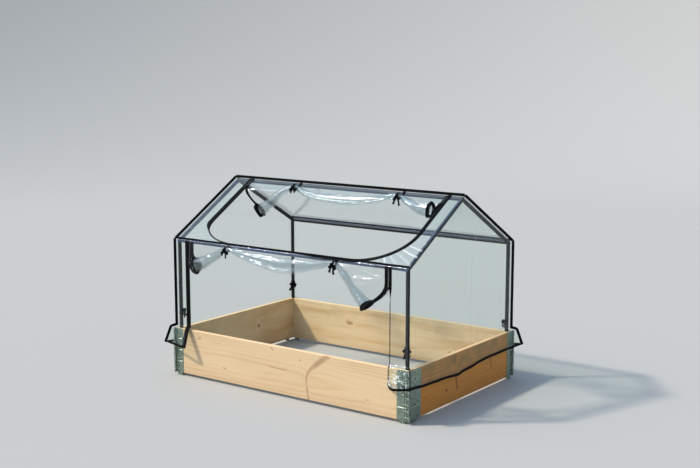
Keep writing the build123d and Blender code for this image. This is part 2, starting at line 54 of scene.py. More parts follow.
# Main lines of the house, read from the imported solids, in metres
filmThickness = 0.001
eaveTube = centreOf("eave_bar_front")
ridgeTube = centreOf("ridge_bar")
postTube = centreOf("post_front_right")
tubeRadius = (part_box("ridge_bar")[1].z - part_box("ridge_bar")[0].z) / 2
pitch = atan2(ridgeTube.z - eaveTube.z, -eaveTube.y)
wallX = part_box("back_roof_film")[1].x
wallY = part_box("back_roof_film")[1].y
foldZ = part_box("back_roof_film")[0].z + filmThickness * cos(pitch)
ridgeZ = foldZ + wallY * tan(pitch)
slopeLength = wallY / cos(pitch)
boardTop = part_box("board_front")[1].z
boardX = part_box("board_front")[1].x
boardY = -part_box("board_front")[0].y
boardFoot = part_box("board_front")[0].z


# The camera stands where the photograph was taken
view = {"place": (2.9767, -4.0285, 1.4061), "turn": -36.119, "tilt": -8.902, "lens": 61.43, "sensor": 36,
        "clipEnd": 200}


def placeCamera():
    turn, tilt = radians(view["turn"]), radians(view["tilt"])
    forward = Vector((sin(turn) * cos(tilt), cos(turn) * cos(tilt), sin(tilt)))
    camera = bpy.data.objects.new("camera", bpy.data.cameras.new("camera"))
    camera.location = view["place"]
    camera.rotation_mode = "QUATERNION"
    camera.rotation_quaternion = forward.to_track_quat("-Z", "Y")
    camera.data.lens = view["lens"]
    camera.data.sensor_width = view["sensor"]
    camera.data.clip_end = view["clipEnd"]
    scene.collection.objects.link(camera)
    scene.camera = camera


def linear(hexText, alpha=1.0):
    channels = [int(hexText[i:i + 2], 16) / 255 for i in (1, 3, 5)]
    return (*[c / 12.92 if c <= 0.04045 else ((c + 0.055) / 1.055) ** 2.4 for c in channels], alpha)


# Adds one node. Sockets are values or links for its inputs, and a node given as a link stands for
# its first output in use. Settings are the node's own fields.
def addNode(tree, kind, sockets=None, **settings):
    node = tree.nodes.new(kind if "Node" in kind else "ShaderNode" + kind)
    for name, value in settings.items():
        setattr(node, name, value)
    for name, value in (sockets or {}).items():
        if isinstance(value, bpy.types.Node):
            value = next(output for output in value.outputs if output.enabled)
        if isinstance(value, bpy.types.NodeSocket):
            tree.links.new(value, node.inputs[name])
        else:
            node.inputs[name].default_value = value
    return node


def newMaterial(name):
    material = bpy.data.materials.new(name)
    material.use_nodes = True
    material.node_tree.nodes.clear()
    return material, partial(addNode, material.node_tree)


def setRamp(ramp, stops):
    elements = ramp.color_ramp.elements
    while len(elements) < len(stops):
        elements.new(0.5)
    for element, (place, colour) in zip(elements, stops):
        element.position = place
        element.color = linear(colour)


studio = {"floorRadius": 11.0, "core": 0.02, "rimHeight": 2.6, "floorTone": "#A9A9A5", "rings": 40,
          "spokes": 96, "flatShare": 0.55, "rimCurve": 2.2, "ringCurve": 1.3}


# A wide round floor whose rim curves up, so that it has no horizon from any side
def layFloor():
    radii = np.linspace(studio["core"], 1, studio["rings"]) ** studio["ringCurve"] * studio["floorRadius"]
    outside = np.clip((radii / studio["floorRadius"] - studio["flatShare"]) / (1 - studio["flatShare"]), 0, 1)
    lift = outside ** studio["rimCurve"] * studio["rimHeight"]
    turn = np.linspace(0, 2 * pi, studio["spokes"], endpoint=False)
    points = np.stack([np.outer(radii, np.cos(turn)), np.outer(radii, np.sin(turn)),
                       np.repeat(lift[:, None], studio["spokes"], axis=1)], axis=2)
    material, add = newMaterial("matt studio paper")
    paper = add("BsdfPrincipled",
                {"Base Color": linear(studio["floorTone"]), "Roughness": 0.9, "Specular IOR Level": 0.2})
    add("OutputMaterial", {"Surface": paper})
    gridObject("studio_floor", points, material, wrap=True, caps="first", flip=True)


sun = {"towards": (0.544, 0.453, -0.707), "strength": 3.7, "angle": 5.0, "tint": "#FFF3E4",
       "place": (-3, -2.5, 4)}


def hangSun():
    light = bpy.data.lights.new("sun", "SUN")
    light.energy = sun["strength"]
    light.angle = radians(sun["angle"])
    light.color = linear(sun["tint"])[:3]
    holder = bpy.data.objects.new("sun", light)
    holder.location = sun["place"]
    holder.rotation_mode = "QUATERNION"
    holder.rotation_quaternion = Vector(sun["towards"]).to_track_quat("-Z", "Y")
    scene.collection.objects.link(holder)


sky = {"stops": ((0.0, "#8A9094"), (0.3, "#A6B3BF"), (0.62, "#C2D1E3"), (1.0, "#86B0E8")),
       "glow": "#EAF2FF", "glowFocus": 10.0, "glowStrength": 2.6}


# Pale sky over the studio: grey low down and soft blue overhead, which the film mirrors
def paintSky():
    world = bpy.data.worlds.new("studio sky")
    scene.world = world
    world.use_nodes = True
    tree = world.node_tree
    tree.nodes.clear()
    add = partial(addNode, tree)
    coords = add("TexCoord")
    height = add("SeparateXYZ", {"Vector": coords.outputs["Generated"]})
    tone = add("ValToRGB", {"Fac": height.outputs["Z"]})
    setRamp(tone, sky["stops"])
    near = add("VectorMath", {0: coords.outputs["Generated"], 1: -Vector(sun["towards"])},
               operation="DOT_PRODUCT")
    held = add("Math", {0: near, 1: 0.0}, operation="MAXIMUM")
    glow = add("Math", {0: held, 1: sky["glowFocus"]}, operation="POWER")
    glow = add("VectorMath", {0: linear(sky["glow"])[:3], "Scale": glow}, operation="SCALE")
    glow = add("VectorMath", {0: glow, "Scale": sky["glowStrength"]}, operation="SCALE")
    both = add("VectorMath", {0: tone, 1: glow}, operation="ADD")
    backdrop = add("Background", {"Color": both, "Strength": 1.0})
    add("OutputWorld", {"Surface": backdrop})


# A surface from rows of points. uv is in metres, and a wrapped surface closes round its columns.
def gridObject(name, points, material, uv=None, wrap=False, caps=False, flip=False):
    rows, columns = points.shape[:2]
    across = columns if wrap else columns - 1
    i, j = np.meshgrid(np.arange(rows - 1), np.arange(across), indexing="ij")
    after = (j + 1) % columns
    here, below = i * columns, (i + 1) * columns
    quads = np.stack([here + j, here + after, below + after, below + j], -1)
    faces = quads.reshape(-1, 4).tolist()
    if flip:
        faces = [face[::-1] for face in faces]
    if caps:
        first = list(range(columns))
        last = [(rows - 1) * columns + k for k in range(columns)]
        ends = [first if flip else first[::-1], last[::-1] if flip else last]
        faces += ends[:1] if caps == "first" else ends
    mesh = bpy.data.meshes.new(name)
    mesh.from_pydata(points.reshape(-1, 3).tolist(), [], faces)
    if uv is not None:
        corners = [(0, 0), (0, 1), (1, 1), (1, 0)]
        loops = np.stack([uv[i + a, j + b] for a, b in corners], axis=2).reshape(-1, 4, 2)
        if flip:
            loops = loops[:, ::-1]
        flat = np.zeros((len(mesh.loops), 2))
        flat[:loops.shape[0] * 4] = loops.reshape(-1, 2)
        layer = mesh.uv_layers.new(name="UVMap")
        layer.data.foreach_set("uv", flat.ravel())
    mesh.materials.append(material)
    mesh.shade_smooth()
    mesh.update()
    piece = bpy.data.objects.new(name, mesh)
    scene.collection.objects.link(piece)
    return piece


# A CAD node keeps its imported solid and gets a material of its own
def dress(node, material):
    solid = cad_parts[node]
    solid.data.materials.clear()
    solid.data.materials.append(material)
    return solid


# A finished piece rides on the only body, and the imported nodes that it stands for are hidden
def settle(piece, slotName, *nodes):
    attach(piece, "root")
    if nodes:
        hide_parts(*nodes)


def unit(vectors):
    return vectors / np.maximum(np.linalg.norm(vectors, axis=-1, keepdims=True), 1e-12)


def alongLength(points):
    steps = np.linalg.norm(np.diff(points, axis=0), axis=1)
    return np.concatenate([[0], np.cumsum(steps)])


# A strip of tape with rounded edges. Its width lies along across and its thickness along facing.
def tapeObject(name, centres, across, facing, width, thickness, material, closed=False):
    centres = np.asarray(centres, float)
    narrowed = np.broadcast_to(width / np.max(width), len(centres))[:, None]
    width = float(np.max(width))
    across = unit(np.broadcast_to(np.asarray(across, float), centres.shape))
    facing = unit(np.broadcast_to(np.asarray(facing, float), centres.shape))
    a, t = width / 2, thickness / 2
    rim, shoulder = 0.4 * t, 0.7 * t  # its edges are rounded off by this much
    section = [(-a, -rim), (-a + shoulder, -t), (a - shoulder, -t), (a, -rim),
               (a, rim), (a - shoulder, t), (-a + shoulder, t), (-a, rim)]
    if closed:
        centres, across, facing, narrowed = [np.concatenate([x, x[:1]])
                                             for x in (centres, across, facing, narrowed)]
    rings = np.stack([centres + across * p * narrowed + facing * q for p, q in section], axis=1)
    length = alongLength(centres)
    girth = [0, t, width - t, width, width + t, width + 2 * t, 2 * width, 2 * width + t, 2 * width + 2 * t]
    uv = np.stack(np.meshgrid(length, girth, indexing="ij"), -1)
    direction = centres[1] - centres[0]
    flip = float(np.dot(np.cross(across[0], facing[0]), direction)) < 0
    return gridObject(name, rings, material, uv, wrap=True, caps=not closed, flip=flip)


def smoothStep(x, low, high):
    t = np.clip((x - low) / (high - low), 0, 1)
    return t * t * (3 - 2 * t)


def blend(start, end, share):
    return start + (end - start) * share


# A smooth line through the stops of a given table
def smoothLine(stops, values, at):
    stops, values = np.asarray(stops, float), np.asarray(values, float)
    slope = np.gradient(values, stops, axis=0)
    k = np.clip(np.searchsorted(stops, at) - 1, 0, len(stops) - 2)
    gap = stops[k + 1] - stops[k]
    t = (at - stops[k]) / gap
    if values.ndim > 1:
        t, gap = t[:, None], gap[:, None]
    return ((2 * t**3 - 3 * t**2 + 1) * values[k] + (t**3 - 2 * t**2 + t) * gap * slope[k]
            + (3 * t**2 - 2 * t**3) * values[k + 1] + (t**3 - t**2) * gap * slope[k + 1])


# Spread of an upright crease's lean, and the shares of its depth, width and reach that one may have
crease = {"lean": 0.25, "depth": (0.4, 1), "width": (0.5, 1.5), "reach": (0.5, 1.2)}


# Creases of soft film: straight folds at seeded places, each a low ridge that dies away
def creases(s, z, seed, count, depth, width, reach, upright=0.6):
    dice = np.random.default_rng(seed)
    height = np.zeros_like(s)
    for _ in range(count):
        centreS = dice.uniform(s.min(), s.max())
        centreZ = dice.uniform(z.min(), z.max())
        lean = dice.normal(pi / 2, crease["lean"]) if dice.random() < upright else dice.uniform(0, pi)
        along = (s - centreS) * cos(lean) + (z - centreZ) * sin(lean)
        off = -(s - centreS) * sin(lean) + (z - centreZ) * cos(lean)
        size = dice.uniform(*crease["depth"]) * depth * dice.choice([-1, 1])
        beside = np.abs(off) / (width * dice.uniform(*crease["width"]))
        beyond = along / (reach * dice.uniform(*crease["reach"]))
        height += size * np.exp(-beside) * np.exp(-beyond ** 2)
    return height


swellWave = {"sizes": (0.55, 0.31, 0.17, 0.09), "across": 0.9, "tall": 2.2}  # its waves are taller than wide


# Slow swell of a panel that hangs between its seams
def swell(s, z, seed, size):
    dice = np.random.default_rng(seed)
    height = np.zeros_like(s)
    for wave in swellWave["sizes"]:
        sideways = np.sin(2 * pi * s / (wave * swellWave["across"]) + dice.uniform(0, 6))
        height += wave * sideways * np.sin(2 * pi * z / (wave * swellWave["tall"]) + dice.uniform(0, 6))
    return height * size


# Planed pine: growth rings cut lengthwise show as long pale and darker bands that part round
# the knots, over fine fibres. The real rings are 3 mm apart, drawn 9 mm so that they show.
pine = {"ring": 0.009, "pithBehind": 0.075, "wander": 0.016, "fibre": 0.0016, "fibreAlong": 7.0,
        "grainAlong": 0.9, "grainAcross": 7.0, "longPith": (0, -0.4, 0.09), "shortPith": (0.6, 0, 0.11),
        "greenTint": "#6E6A2E", "bleachedAndLit": "#EBC79A"}


def pineMaterial(name, grain, pale, warm, dark, knots, weather, greenTint):
    material, add = newMaterial(name)
    coords = add("TexCoord").outputs["Object"]
    alongX = grain == "x"
    face, section = ((1, 0, 1), (0, 1, 1)) if alongX else ((0, 1, 1), (1, 0, 1))
    fromPith = Vector((0, pine["pithBehind"], 0) if alongX else (-pine["pithBehind"], 0, 0))
    centre = Vector(pine["longPith" if alongX else "shortPith"]) + fromPith

    # A scale for each axis: one number along the grain and another across it
    def grainScale(along, across):
        return (along, across, across) if alongX else (across, along, across)

    flat = add("VectorMath", {0: coords, 1: face}, operation="MULTIPLY")
    stretched = grainScale(pine["grainAlong"], pine["grainAcross"])
    slow = add("Mapping", {"Vector": coords, "Scale": stretched})
    wander = add("TexNoise", {"Vector": slow, "Scale": 1.0, "Detail": 2.0, "Roughness": 0.45})
    marks = []
    for start, end, wide, narrow, strength in knots:
        start, end = Vector(start), Vector(end)
        run = end - start
        offset = add("VectorMath", {0: flat, 1: start}, operation="SUBTRACT")
        share = add("VectorMath", {0: offset, 1: run / run.length_squared}, operation="DOT_PRODUCT")
        held = add("Math", {0: share, 1: 0.0}, operation="ADD", use_clamp=True)
        step = add("VectorMath", {0: run, "Scale": held}, operation="SCALE")
        gap = add("VectorMath", {0: offset, 1: step}, operation="DISTANCE")
        girth = add("MapRange", {"Value": held, "To Min": wide, "To Max": narrow})
        near = add("Math", {0: gap, 1: girth}, operation="DIVIDE")
        mark = add("MapRange", {"Value": near, "From Min": 1.6, "From Max": 0.2, "To Max": strength},
                   interpolation_type="SMOOTHSTEP")
        halo = add("MapRange", {"Value": near, "From Min": 3.5, "From Max": 0.0, "To Max": 1.2 * wide},
                   interpolation_type="SMOOTHSTEP")
        marks.append((mark, halo))
    across = add("VectorMath", {0: coords, 1: centre}, operation="SUBTRACT")
    across = add("VectorMath", {0: across, 1: section}, operation="MULTIPLY")
    radius = add("VectorMath", {0: across}, operation="LENGTH")
    radius = add("Math", {0: wander, 1: 2 * pine["wander"], 2: radius}, operation="MULTIPLY_ADD")
    for _, halo in marks:
        radius = add("Math", {0: radius, 1: halo}, operation="ADD")
    turns = add("Math", {0: radius, 1: pine["ring"]}, operation="DIVIDE")
    ring = add("Math", {0: turns}, operation="FRACT")
    fine = add("Mapping", {"Vector": coords, "Scale": grainScale(pine["fibreAlong"], 1 / pine["fibre"])})
    fibres = add("TexNoise", {"Vector": fine, "Scale": 1.0, "Detail": 2.0})
    bands = add("ValToRGB", {"Fac": ring})
    setRamp(bands, [(0.0, pale), (0.45, pale), (0.86, warm), (1.0, pale)])
    patches = add("TexNoise", {"Vector": slow, "Scale": 2.3, "Detail": 4.0})
    fade = add("MapRange", {"Value": patches, "From Min": 0.3, "From Max": 0.65})
    colour = add("Mix", {"Factor": fade, "A": linear(pale), "B": bands}, data_type="RGBA")
    fleck = add("MapRange",
                {"Value": fibres, "From Min": 0.35, "From Max": 0.7, "To Min": 0.9, "To Max": 1.04})
    colour = add("VectorMath", {0: colour, 1: fleck}, operation="MULTIPLY")
    stain = add("MapRange", {"Value": patches, "From Min": 0.5, "From Max": 0.8, "To Max": weather})
    colour = add("Mix", {"Factor": stain, "A": colour, "B": linear(dark)}, data_type="RGBA")
    rough = add("TexNoise", {"Vector": coords, "Scale": 90.0, "Detail": 3.0})
    darkest = marks[0][0]
    for mark, _ in marks[1:]:
        darkest = add("Math", {0: darkest, 1: mark}, operation="MAXIMUM")
    broken = add("MapRange", {"Value": rough, "From Min": 0.25, "From Max": 0.6, "To Min": 0.7})
    amount = add("Math", {0: darkest, 1: broken}, operation="MULTIPLY")
    colour = add("Mix", {"Factor": amount, "A": colour, "B": linear(dark)}, data_type="RGBA")
    height = add("SeparateXYZ", {"Vector": coords}).outputs["Z"]
    # A board is darker towards its foot, and a board in the shade is tinted green near its top
    low = add("MapRange", {"Value": height, "From Min": 0.06, "From Max": 0.012, "To Max": 0.3})
    darkerFoot = add("Math", {0: low, 1: rough}, operation="MULTIPLY")
    colour = add("Mix", {"Factor": darkerFoot, "A": colour, "B": linear(dark)}, data_type="RGBA")
    high = add("MapRange", {"Value": height, "From Min": 0.10, "From Max": 0.16, "To Max": greenTint})
    blotch = add("TexNoise", {"Vector": coords, "Scale": 22.0, "Detail": 4.0})
    overlay = add("MapRange", {"Value": blotch, "From Min": 0.42, "From Max": 0.6})
    overlay = add("Math", {0: overlay, 1: high}, operation="MULTIPLY")
    colour = add("Mix", {"Factor": overlay, "A": colour, "B": linear(pine["greenTint"])}, data_type="RGBA")
    # Faces that look up are paler: partly bleached by the sun, partly a painted highlight of the light from
    # above
    facing = add("NewGeometry").outputs["Normal"]
    facing = add("SeparateXYZ", {"Vector": facing}).outputs["Z"]
    bleachAndHighlight = add("MapRange", {"Value": facing, "From Min": 0.5, "From Max": 0.9, "To Max": 0.65})
    colour = add("Mix", {"Factor": bleachAndHighlight, "A": colour, "B": linear(pine["bleachedAndLit"])}, data_type="RGBA")
    bump = add("Bump", {"Height": fibres, "Strength": 0.25, "Distance": 0.0006})
    shader = add("BsdfPrincipled", {"Base Color": colour, "Roughness": 0.62, "Normal": bump, "IOR": 1.5})
    add("OutputMaterial", {"Surface": shader})
    return material


zinc = {"pale": "#AAB8AC", "dull": "#7C8D80", "rust": "#7A3B1E", "grooveShade": "#2E3A36", "rustSpread": 0.006,
        "rustEdge": (0.0095, 0.0055), "beadPitch": 0.0055, "beadZone": (0.0185, 0.0165), "nickPitch": 0.0125}


# Hot-dip galvanised sheet: zinc spangle in a dulled grey, its green cast a painted reflection of grass, and
# rust at the pierced holes
def zincMaterial(name, holes, knuckle=None):
    material, add = newMaterial(name)
    coords = add("TexCoord").outputs["Object"]
    flakes = add("TexVoronoi", {"Vector": coords, "Scale": 150.0})  # 7 mm crystals
    tone = add("ValToRGB", {"Fac": flakes})
    setRamp(tone, [(0.0, zinc["pale"]), (0.8, zinc["dull"])])
    cloud = add("TexNoise", {"Vector": coords, "Scale": 40.0, "Detail": 4.0})
    rough = add("MapRange", {"Value": cloud, "From Min": 0.3, "From Max": 0.7, "To Min": 0.38, "To Max": 0.6})
    colour = tone
    for place in holes:
        gap = add("VectorMath", {0: coords, 1: place}, operation="DISTANCE")
        wobble = add("Math", {0: cloud, 1: zinc["rustSpread"]}, operation="MULTIPLY")
        edge = add("Math", {0: gap, 1: wobble}, operation="ADD")
        overlay = add("MapRange", {"Value": edge, "From Min": zinc["rustEdge"][0],
                                 "From Max": zinc["rustEdge"][1], "To Max": 0.8})
        colour = add("Mix", {"Factor": overlay, "A": colour, "B": linear(zinc["rust"])}, data_type="RGBA")
    bump = add("Bump", {"Height": cloud, "Strength": 0.2, "Distance": 0.0008})
    normal = bump
    if knuckle:  # two upright beads are pressed beside the knuckle, with a nick every 25 mm
        axis, reach = knuckle
        part = add("SeparateXYZ", {"Vector": coords}).outputs
        place = add("Math", {0: part[axis]}, operation="ABSOLUTE")
        inset = add("Math", {0: reach, 1: place}, operation="SUBTRACT")
        bead = add("Math", {0: inset, 1: pi / zinc["beadPitch"]}, operation="MULTIPLY")
        bead = add("Math", {0: bead}, operation="COSINE")
        zone = add("MapRange", {"Value": inset, "From Min": zinc["beadZone"][0],
                                "From Max": zinc["beadZone"][1]})
        bead = add("Math", {0: bead, 1: zone}, operation="MULTIPLY")
        nick = add("Math", {0: part["Z"], 1: pi / zinc["nickPitch"]}, operation="MULTIPLY")
        nick = add("Math", {0: nick}, operation="COSINE")
        nick = add("MapRange", {"Value": nick, "From Min": 0.86, "From Max": 0.97})
        band = add("Math", {0: nick, 1: zone}, operation="MULTIPLY")
        raised = add("Math", {0: bead, 1: band}, operation="ADD")
        # The grooves between the beads are painted dark, a painted shade
        grooveShade = add("MapRange", {"Value": raised, "From Min": -0.3, "From Max": -0.95, "To Max": 0.75})
        colour = add("Mix", {"Factor": grooveShade, "A": colour, "B": linear(zinc["grooveShade"])}, data_type="RGBA")
        normal = add("Bump", {"Height": raised, "Strength": 0.8, "Distance": 0.0012, "Normal": normal})
    shader = add("BsdfPrincipled",
                 {"Base Color": colour, "Metallic": 1.0, "Roughness": rough, "Normal": normal})
    add("OutputMaterial", {"Surface": shader})
    return material


# Powder-coated or moulded black: satin with a fine orange peel that breaks up its highlights.
# grit counts the peel's grains to the metre, so that 900 is a grain of about 1 mm.
def blackMaterial(name, tone, gloss, grit, depth, overlay=None):
    material, add = newMaterial(name)
    coords = add("TexCoord").outputs["Object"]
    peel = add("TexNoise", {"Vector": coords, "Scale": grit, "Detail": 2.0})
    dust = add("TexNoise", {"Vector": coords, "Scale": 14.0, "Detail": 5.0})
    shade = add("ValToRGB", {"Fac": dust})
    setRamp(shade, [(0.45, tone), (0.85, "#1B1D22")])
    rough = add("MapRange",
                {"Value": dust, "From Min": 0.3, "From Max": 0.7, "To Min": gloss, "To Max": gloss + 0.15})
    bump = add("Bump", {"Height": peel, "Strength": 0.3, "Distance": depth})
    colour = shade
    if overlay:  # what faces up is painted deep blue: a painted reflection of the sky
        facing = add("NewGeometry").outputs["Normal"]
        upward = add("SeparateXYZ", {"Vector": facing}).outputs["Z"]
        share = add("MapRange", {"Value": upward, "From Min": 0.05, "From Max": 0.75})
        skyReflected = add("Mix", {"Factor": share, "A": colour, "B": linear(overlay)}, data_type="RGBA")
        colour = skyReflected
    shader = add("BsdfPrincipled", {"Base Color": colour, "Roughness": rough, "Normal": bump, "IOR": 1.4})
    add("OutputMaterial", {"Surface": shader})
    return material


vinyl = {"index": 1.5, "roughness": 0.07, "glint": "#F4F9FF", "bump": 0.002, "foldWidth": 0.0034,
         "foldCore": 0.0008, "crushScale": 70.0, "crushHighlight": 0.75, "crushFade": 0.012}


# Calendered clear vinyl: see-through with a green cast, mirror-like highlights and a little haze.
# ripple counts the slow waves of its surface to the metre.
def filmMaterial(name, haze, wrinkle, tint, shine, folds=(), fanHighlights=(), ripple=26.0, stretch=(1.0, 1.0, 0.3),
                 hazeAndSheenTone="#DAE3E6", crumpled=None):
    material, add = newMaterial(name)
    coords = add("TexCoord").outputs["Object"]
    tall = add("Mapping", {"Vector": coords, "Scale": stretch})
    soft = add("TexNoise", {"Vector": tall, "Scale": ripple, "Detail": 3.0})
    bump = add("Bump", {"Height": soft, "Strength": wrinkle, "Distance": vinyl["bump"]})
    behind = add("NewGeometry").outputs["Backfacing"]
    # Seen from behind a face takes the inverse index, so that both sides mirror the same
    index = add("MapRange", {"Value": behind, "To Min": vinyl["index"], "To Max": 1 / vinyl["index"]})
    mirror = add("Fresnel", {"IOR": index, "Normal": bump})
    twoFaces = add("Math", {0: mirror, 1: shine}, operation="MULTIPLY", use_clamp=True)
    clear = add("BsdfTransparent", {"Color": linear(tint)})
    gloss = add("BsdfGlossy",
                {"Color": linear(vinyl["glint"]), "Roughness": vinyl["roughness"], "Normal": bump})
    glossy = add("MixShader", {0: twoFaces, 1: clear, 2: gloss})
    cloud = add("TexNoise", {"Vector": coords, "Scale": 7.0, "Detail": 4.0})
    hazeAndPaintedLight = add("MapRange", {"Value": cloud, "From Min": 0.35, "From Max": 0.7, "To Min": haze * 0.5,
                            "To Max": haze * 1.5})
    # Sharp folds are painted white: painted highlights on the creases, with some stress whitening of the
    # vinyl. Each is a thin upright line, by its place along y
    spot = add("SeparateXYZ", {"Vector": coords}).outputs
    for place, low, high, white in folds:
        off = add("Math", {0: spot["Y"], 1: place}, operation="SUBTRACT")
        off = add("Math", {0: off}, operation="ABSOLUTE")
        line = add("MapRange", {"Value": off, "From Min": vinyl["foldWidth"], "From Max": vinyl["foldCore"],
                                "To Max": white})
        rise = add("Math", {0: spot["Z"], 1: (low + high) / 2}, operation="SUBTRACT")
        rise = add("Math", {0: rise}, operation="ABSOLUTE")
        half = (high - low) / 2
        reach = add("MapRange", {"Value": rise, "From Min": half, "From Max": half * 0.3})
        hazeAndPaintedLight = add("Math", {0: line, 1: reach, 2: hazeAndPaintedLight}, operation="MULTIPLY_ADD")
    # Where a sheet is drawn tight round a curved edge, its folds stand across that edge like a fan, and here
    # they are painted white as painted highlights
    for middle, narrow, white in fanHighlights:
        away = add("VectorMath", {0: coords, 1: middle}, operation="SUBTRACT")
        part = add("SeparateXYZ", {"Vector": away}).outputs
        turn = add("Math", {0: part["Y"], 1: part["X"]}, operation="ARCTAN2")
        turn = add("Math", {0: cloud, 1: fanLobes["stir"], 2: turn}, operation="MULTIPLY_ADD")
        wave = add("Math", {0: turn, 1: fanLobes["folds"], 2: fanLobes["phase"]}, operation="MULTIPLY_ADD")
        wave = add("Math", {0: wave}, operation="SINE")
        line = add("MapRange", {"Value": wave, "From Min": narrow, "To Max": white})
        slower, phase = fanLobes["uneven"]
        uneven = add("Math", {0: turn, 1: slower * fanLobes["folds"], 2: phase}, operation="MULTIPLY_ADD")
        uneven = add("Math", {0: uneven}, operation="SINE")
        uneven = add("MapRange", {"Value": uneven, "From Min": -1.0, "To Min": 0.3})
        line = add("Math", {0: line, 1: uneven}, operation="MULTIPLY")
        length = add("VectorMath", {0: away}, operation="LENGTH")
        start, end = fanLobes["fade"]
        far = add("MapRange", {"Value": length, "From Min": end, "From Max": start})
        low, high = fanLobes["below"]
        side = add("MapRange", {"Value": part["Y"], "From Min": high, "From Max": low})
        near = add("Math", {0: side, 1: far}, operation="MULTIPLY")
        hazeAndPaintedLight = add("Math", {0: line, 1: near, 2: hazeAndPaintedLight}, operation="MULTIPLY_ADD")
    if crumpled:  # below this height the crushed film is painted white in patches: painted highlights of its creases
        crush = add("TexNoise",
                    {"Vector": coords, "Scale": vinyl["crushScale"], "Detail": 2.0, "Distortion": 0.5})
        crush = add("MapRange",
                    {"Value": crush, "From Min": 0.5, "From Max": 0.64, "To Max": vinyl["crushHighlight"]})
        under = add("MapRange",
                    {"Value": spot["Z"], "From Min": crumpled, "From Max": crumpled - vinyl["crushFade"]})
        hazeAndPaintedLight = add("Math", {0: crush, 1: under, 2: hazeAndPaintedLight}, operation="MULTIPLY_ADD")
    # The haze, with the painted highlights and reflections above, is a white diffuse layer over the clear
    # film
    white = add("BsdfPrincipled", {"Base Color": linear(hazeAndSheenTone), "Roughness": 0.3})
    body = add("MixShader", {0: hazeAndPaintedLight, 1: glossy, 2: white})
    add("OutputMaterial", {"Surface": body})
    return material


waveTurn = 0.314  # a Wave Texture repeats once in this much of its scale


# Woven polyester binding: a plain weave drawn at 1.2 mm, coarser than the real one so that it shows
def tapeMaterial(name, tone, pitchM, coat=0.0):
    threads = waveTurn / pitchM
    material, add = newMaterial(name)
    uv = add("UVMap", uv_map="UVMap").outputs["UV"]
    weft = add("TexWave", {"Vector": uv, "Scale": threads}, wave_type="BANDS", bands_direction="X")
    warp = add("TexWave", {"Vector": uv, "Scale": threads}, wave_type="BANDS", bands_direction="Y")
    weave = add("Math", {0: weft.outputs["Fac"], 1: warp.outputs["Fac"]}, operation="MULTIPLY")
    shade = add("ValToRGB", {"Fac": weave})
    setRamp(shade, [(0.0, "#020203"), (1.0, tone)])
    bump = add("Bump", {"Height": weave, "Strength": 0.5, "Distance": 0.0003})
    shader = add("BsdfPrincipled", {"Base Color": shade, "Roughness": 0.7, "Specular IOR Level": 0.08,
                                    "Normal": bump, "Coat Weight": coat, "Coat Roughness": 0.16})
    add("OutputMaterial", {"Surface": shader})
    return material


# The front slope and its opening: the strips left round it, and how far its corners are rounded
roof = {"tape": 0.012, "shownTape": 0.018, "closedWidth": 0.018, "leftSpare": 0.006,
        "leftStrip": 0.088, "rightStrip": 0.062, "top": 0.060, "eaveGap": 0.0015, "ridgeGap": 0.0008,
        "leftAlong": 0.205, "leftUp": 0.132, "rightAlong": 0.214, "rightUp": 0.190}
openingLeft = wallX - roof["leftStrip"] - roof["tape"]
openingRight = wallX - roof["rightStrip"] - roof["tape"]
slopeTop = slopeLength - roof["ridgeGap"]
slopeOut = np.array([0.0, -sin(pitch), cos(pitch)])


# A point on a slope: side is -1 in front and 1 behind, up is measured from the eave's fold
def slopePoint(side, x, up, lift=0.0):
    x, up, lift = np.broadcast_arrays(np.asarray(x, float), up, lift)
    y = side * (wallY - up * cos(pitch) + lift * sin(pitch))
    z = foldZ + up * sin(pitch) + lift * cos(pitch)
    return np.stack([x, y, z], axis=-1)


# The folds of the roof's corners run out from the middle of each curved corner
fanLobes = {"folds": 54.0, "phase": 1.2, "stir": 0.12, "uneven": (0.31, 0.6), "fade": (0.29, 0.42),
            "below": (-0.07, -0.02)}
rightFan = Vector(slopePoint(-1, openingRight - roof["rightAlong"],
                             roof["eaveGap"] + roof["tape"] + roof["rightUp"]))
leftFan = Vector(slopePoint(-1, roof["leftAlong"] - openingLeft,
                            roof["eaveGap"] + roof["tape"] + roof["leftUp"]))
# Folds of the right gable painted white as painted highlights: place, low end, high end and whiteness
gableFoldHighlights = ((0.066, 0.20, 0.64, 0.5), (0.058, 0.36, 0.60, 0.25), (0.021, 0.36, 0.62, 0.22),
              (0.092, 0.58, 0.71, 0.3), (0.120, 0.21, 0.37, 0.25), (-0.345, 0.22, 0.43, 0.22))
clearFilm = filmMaterial("calendered clear vinyl film", 0.008, 0.25, "#F5FAF7", 0.55)
gableFilm = filmMaterial("calendered clear vinyl film, folded", 0.008, 0.25, "#F5FAF7", 0.55,
                         folds=gableFoldHighlights)
skirtFilm = filmMaterial("calendered clear vinyl film, crumpled", 0.014, 0.5, "#F5FAF7", 0.6,
                         crumpled=boardTop)
# The roof's film carries painted highlights along the folds at its corners
roofFilm = filmMaterial("calendered clear vinyl film of the roof", 0.03, 0.3, "#F2F9F5", 1.4,
                        fanHighlights=[(rightFan, 0.5, 0.6), (leftFan, 0.8, 0.25)])
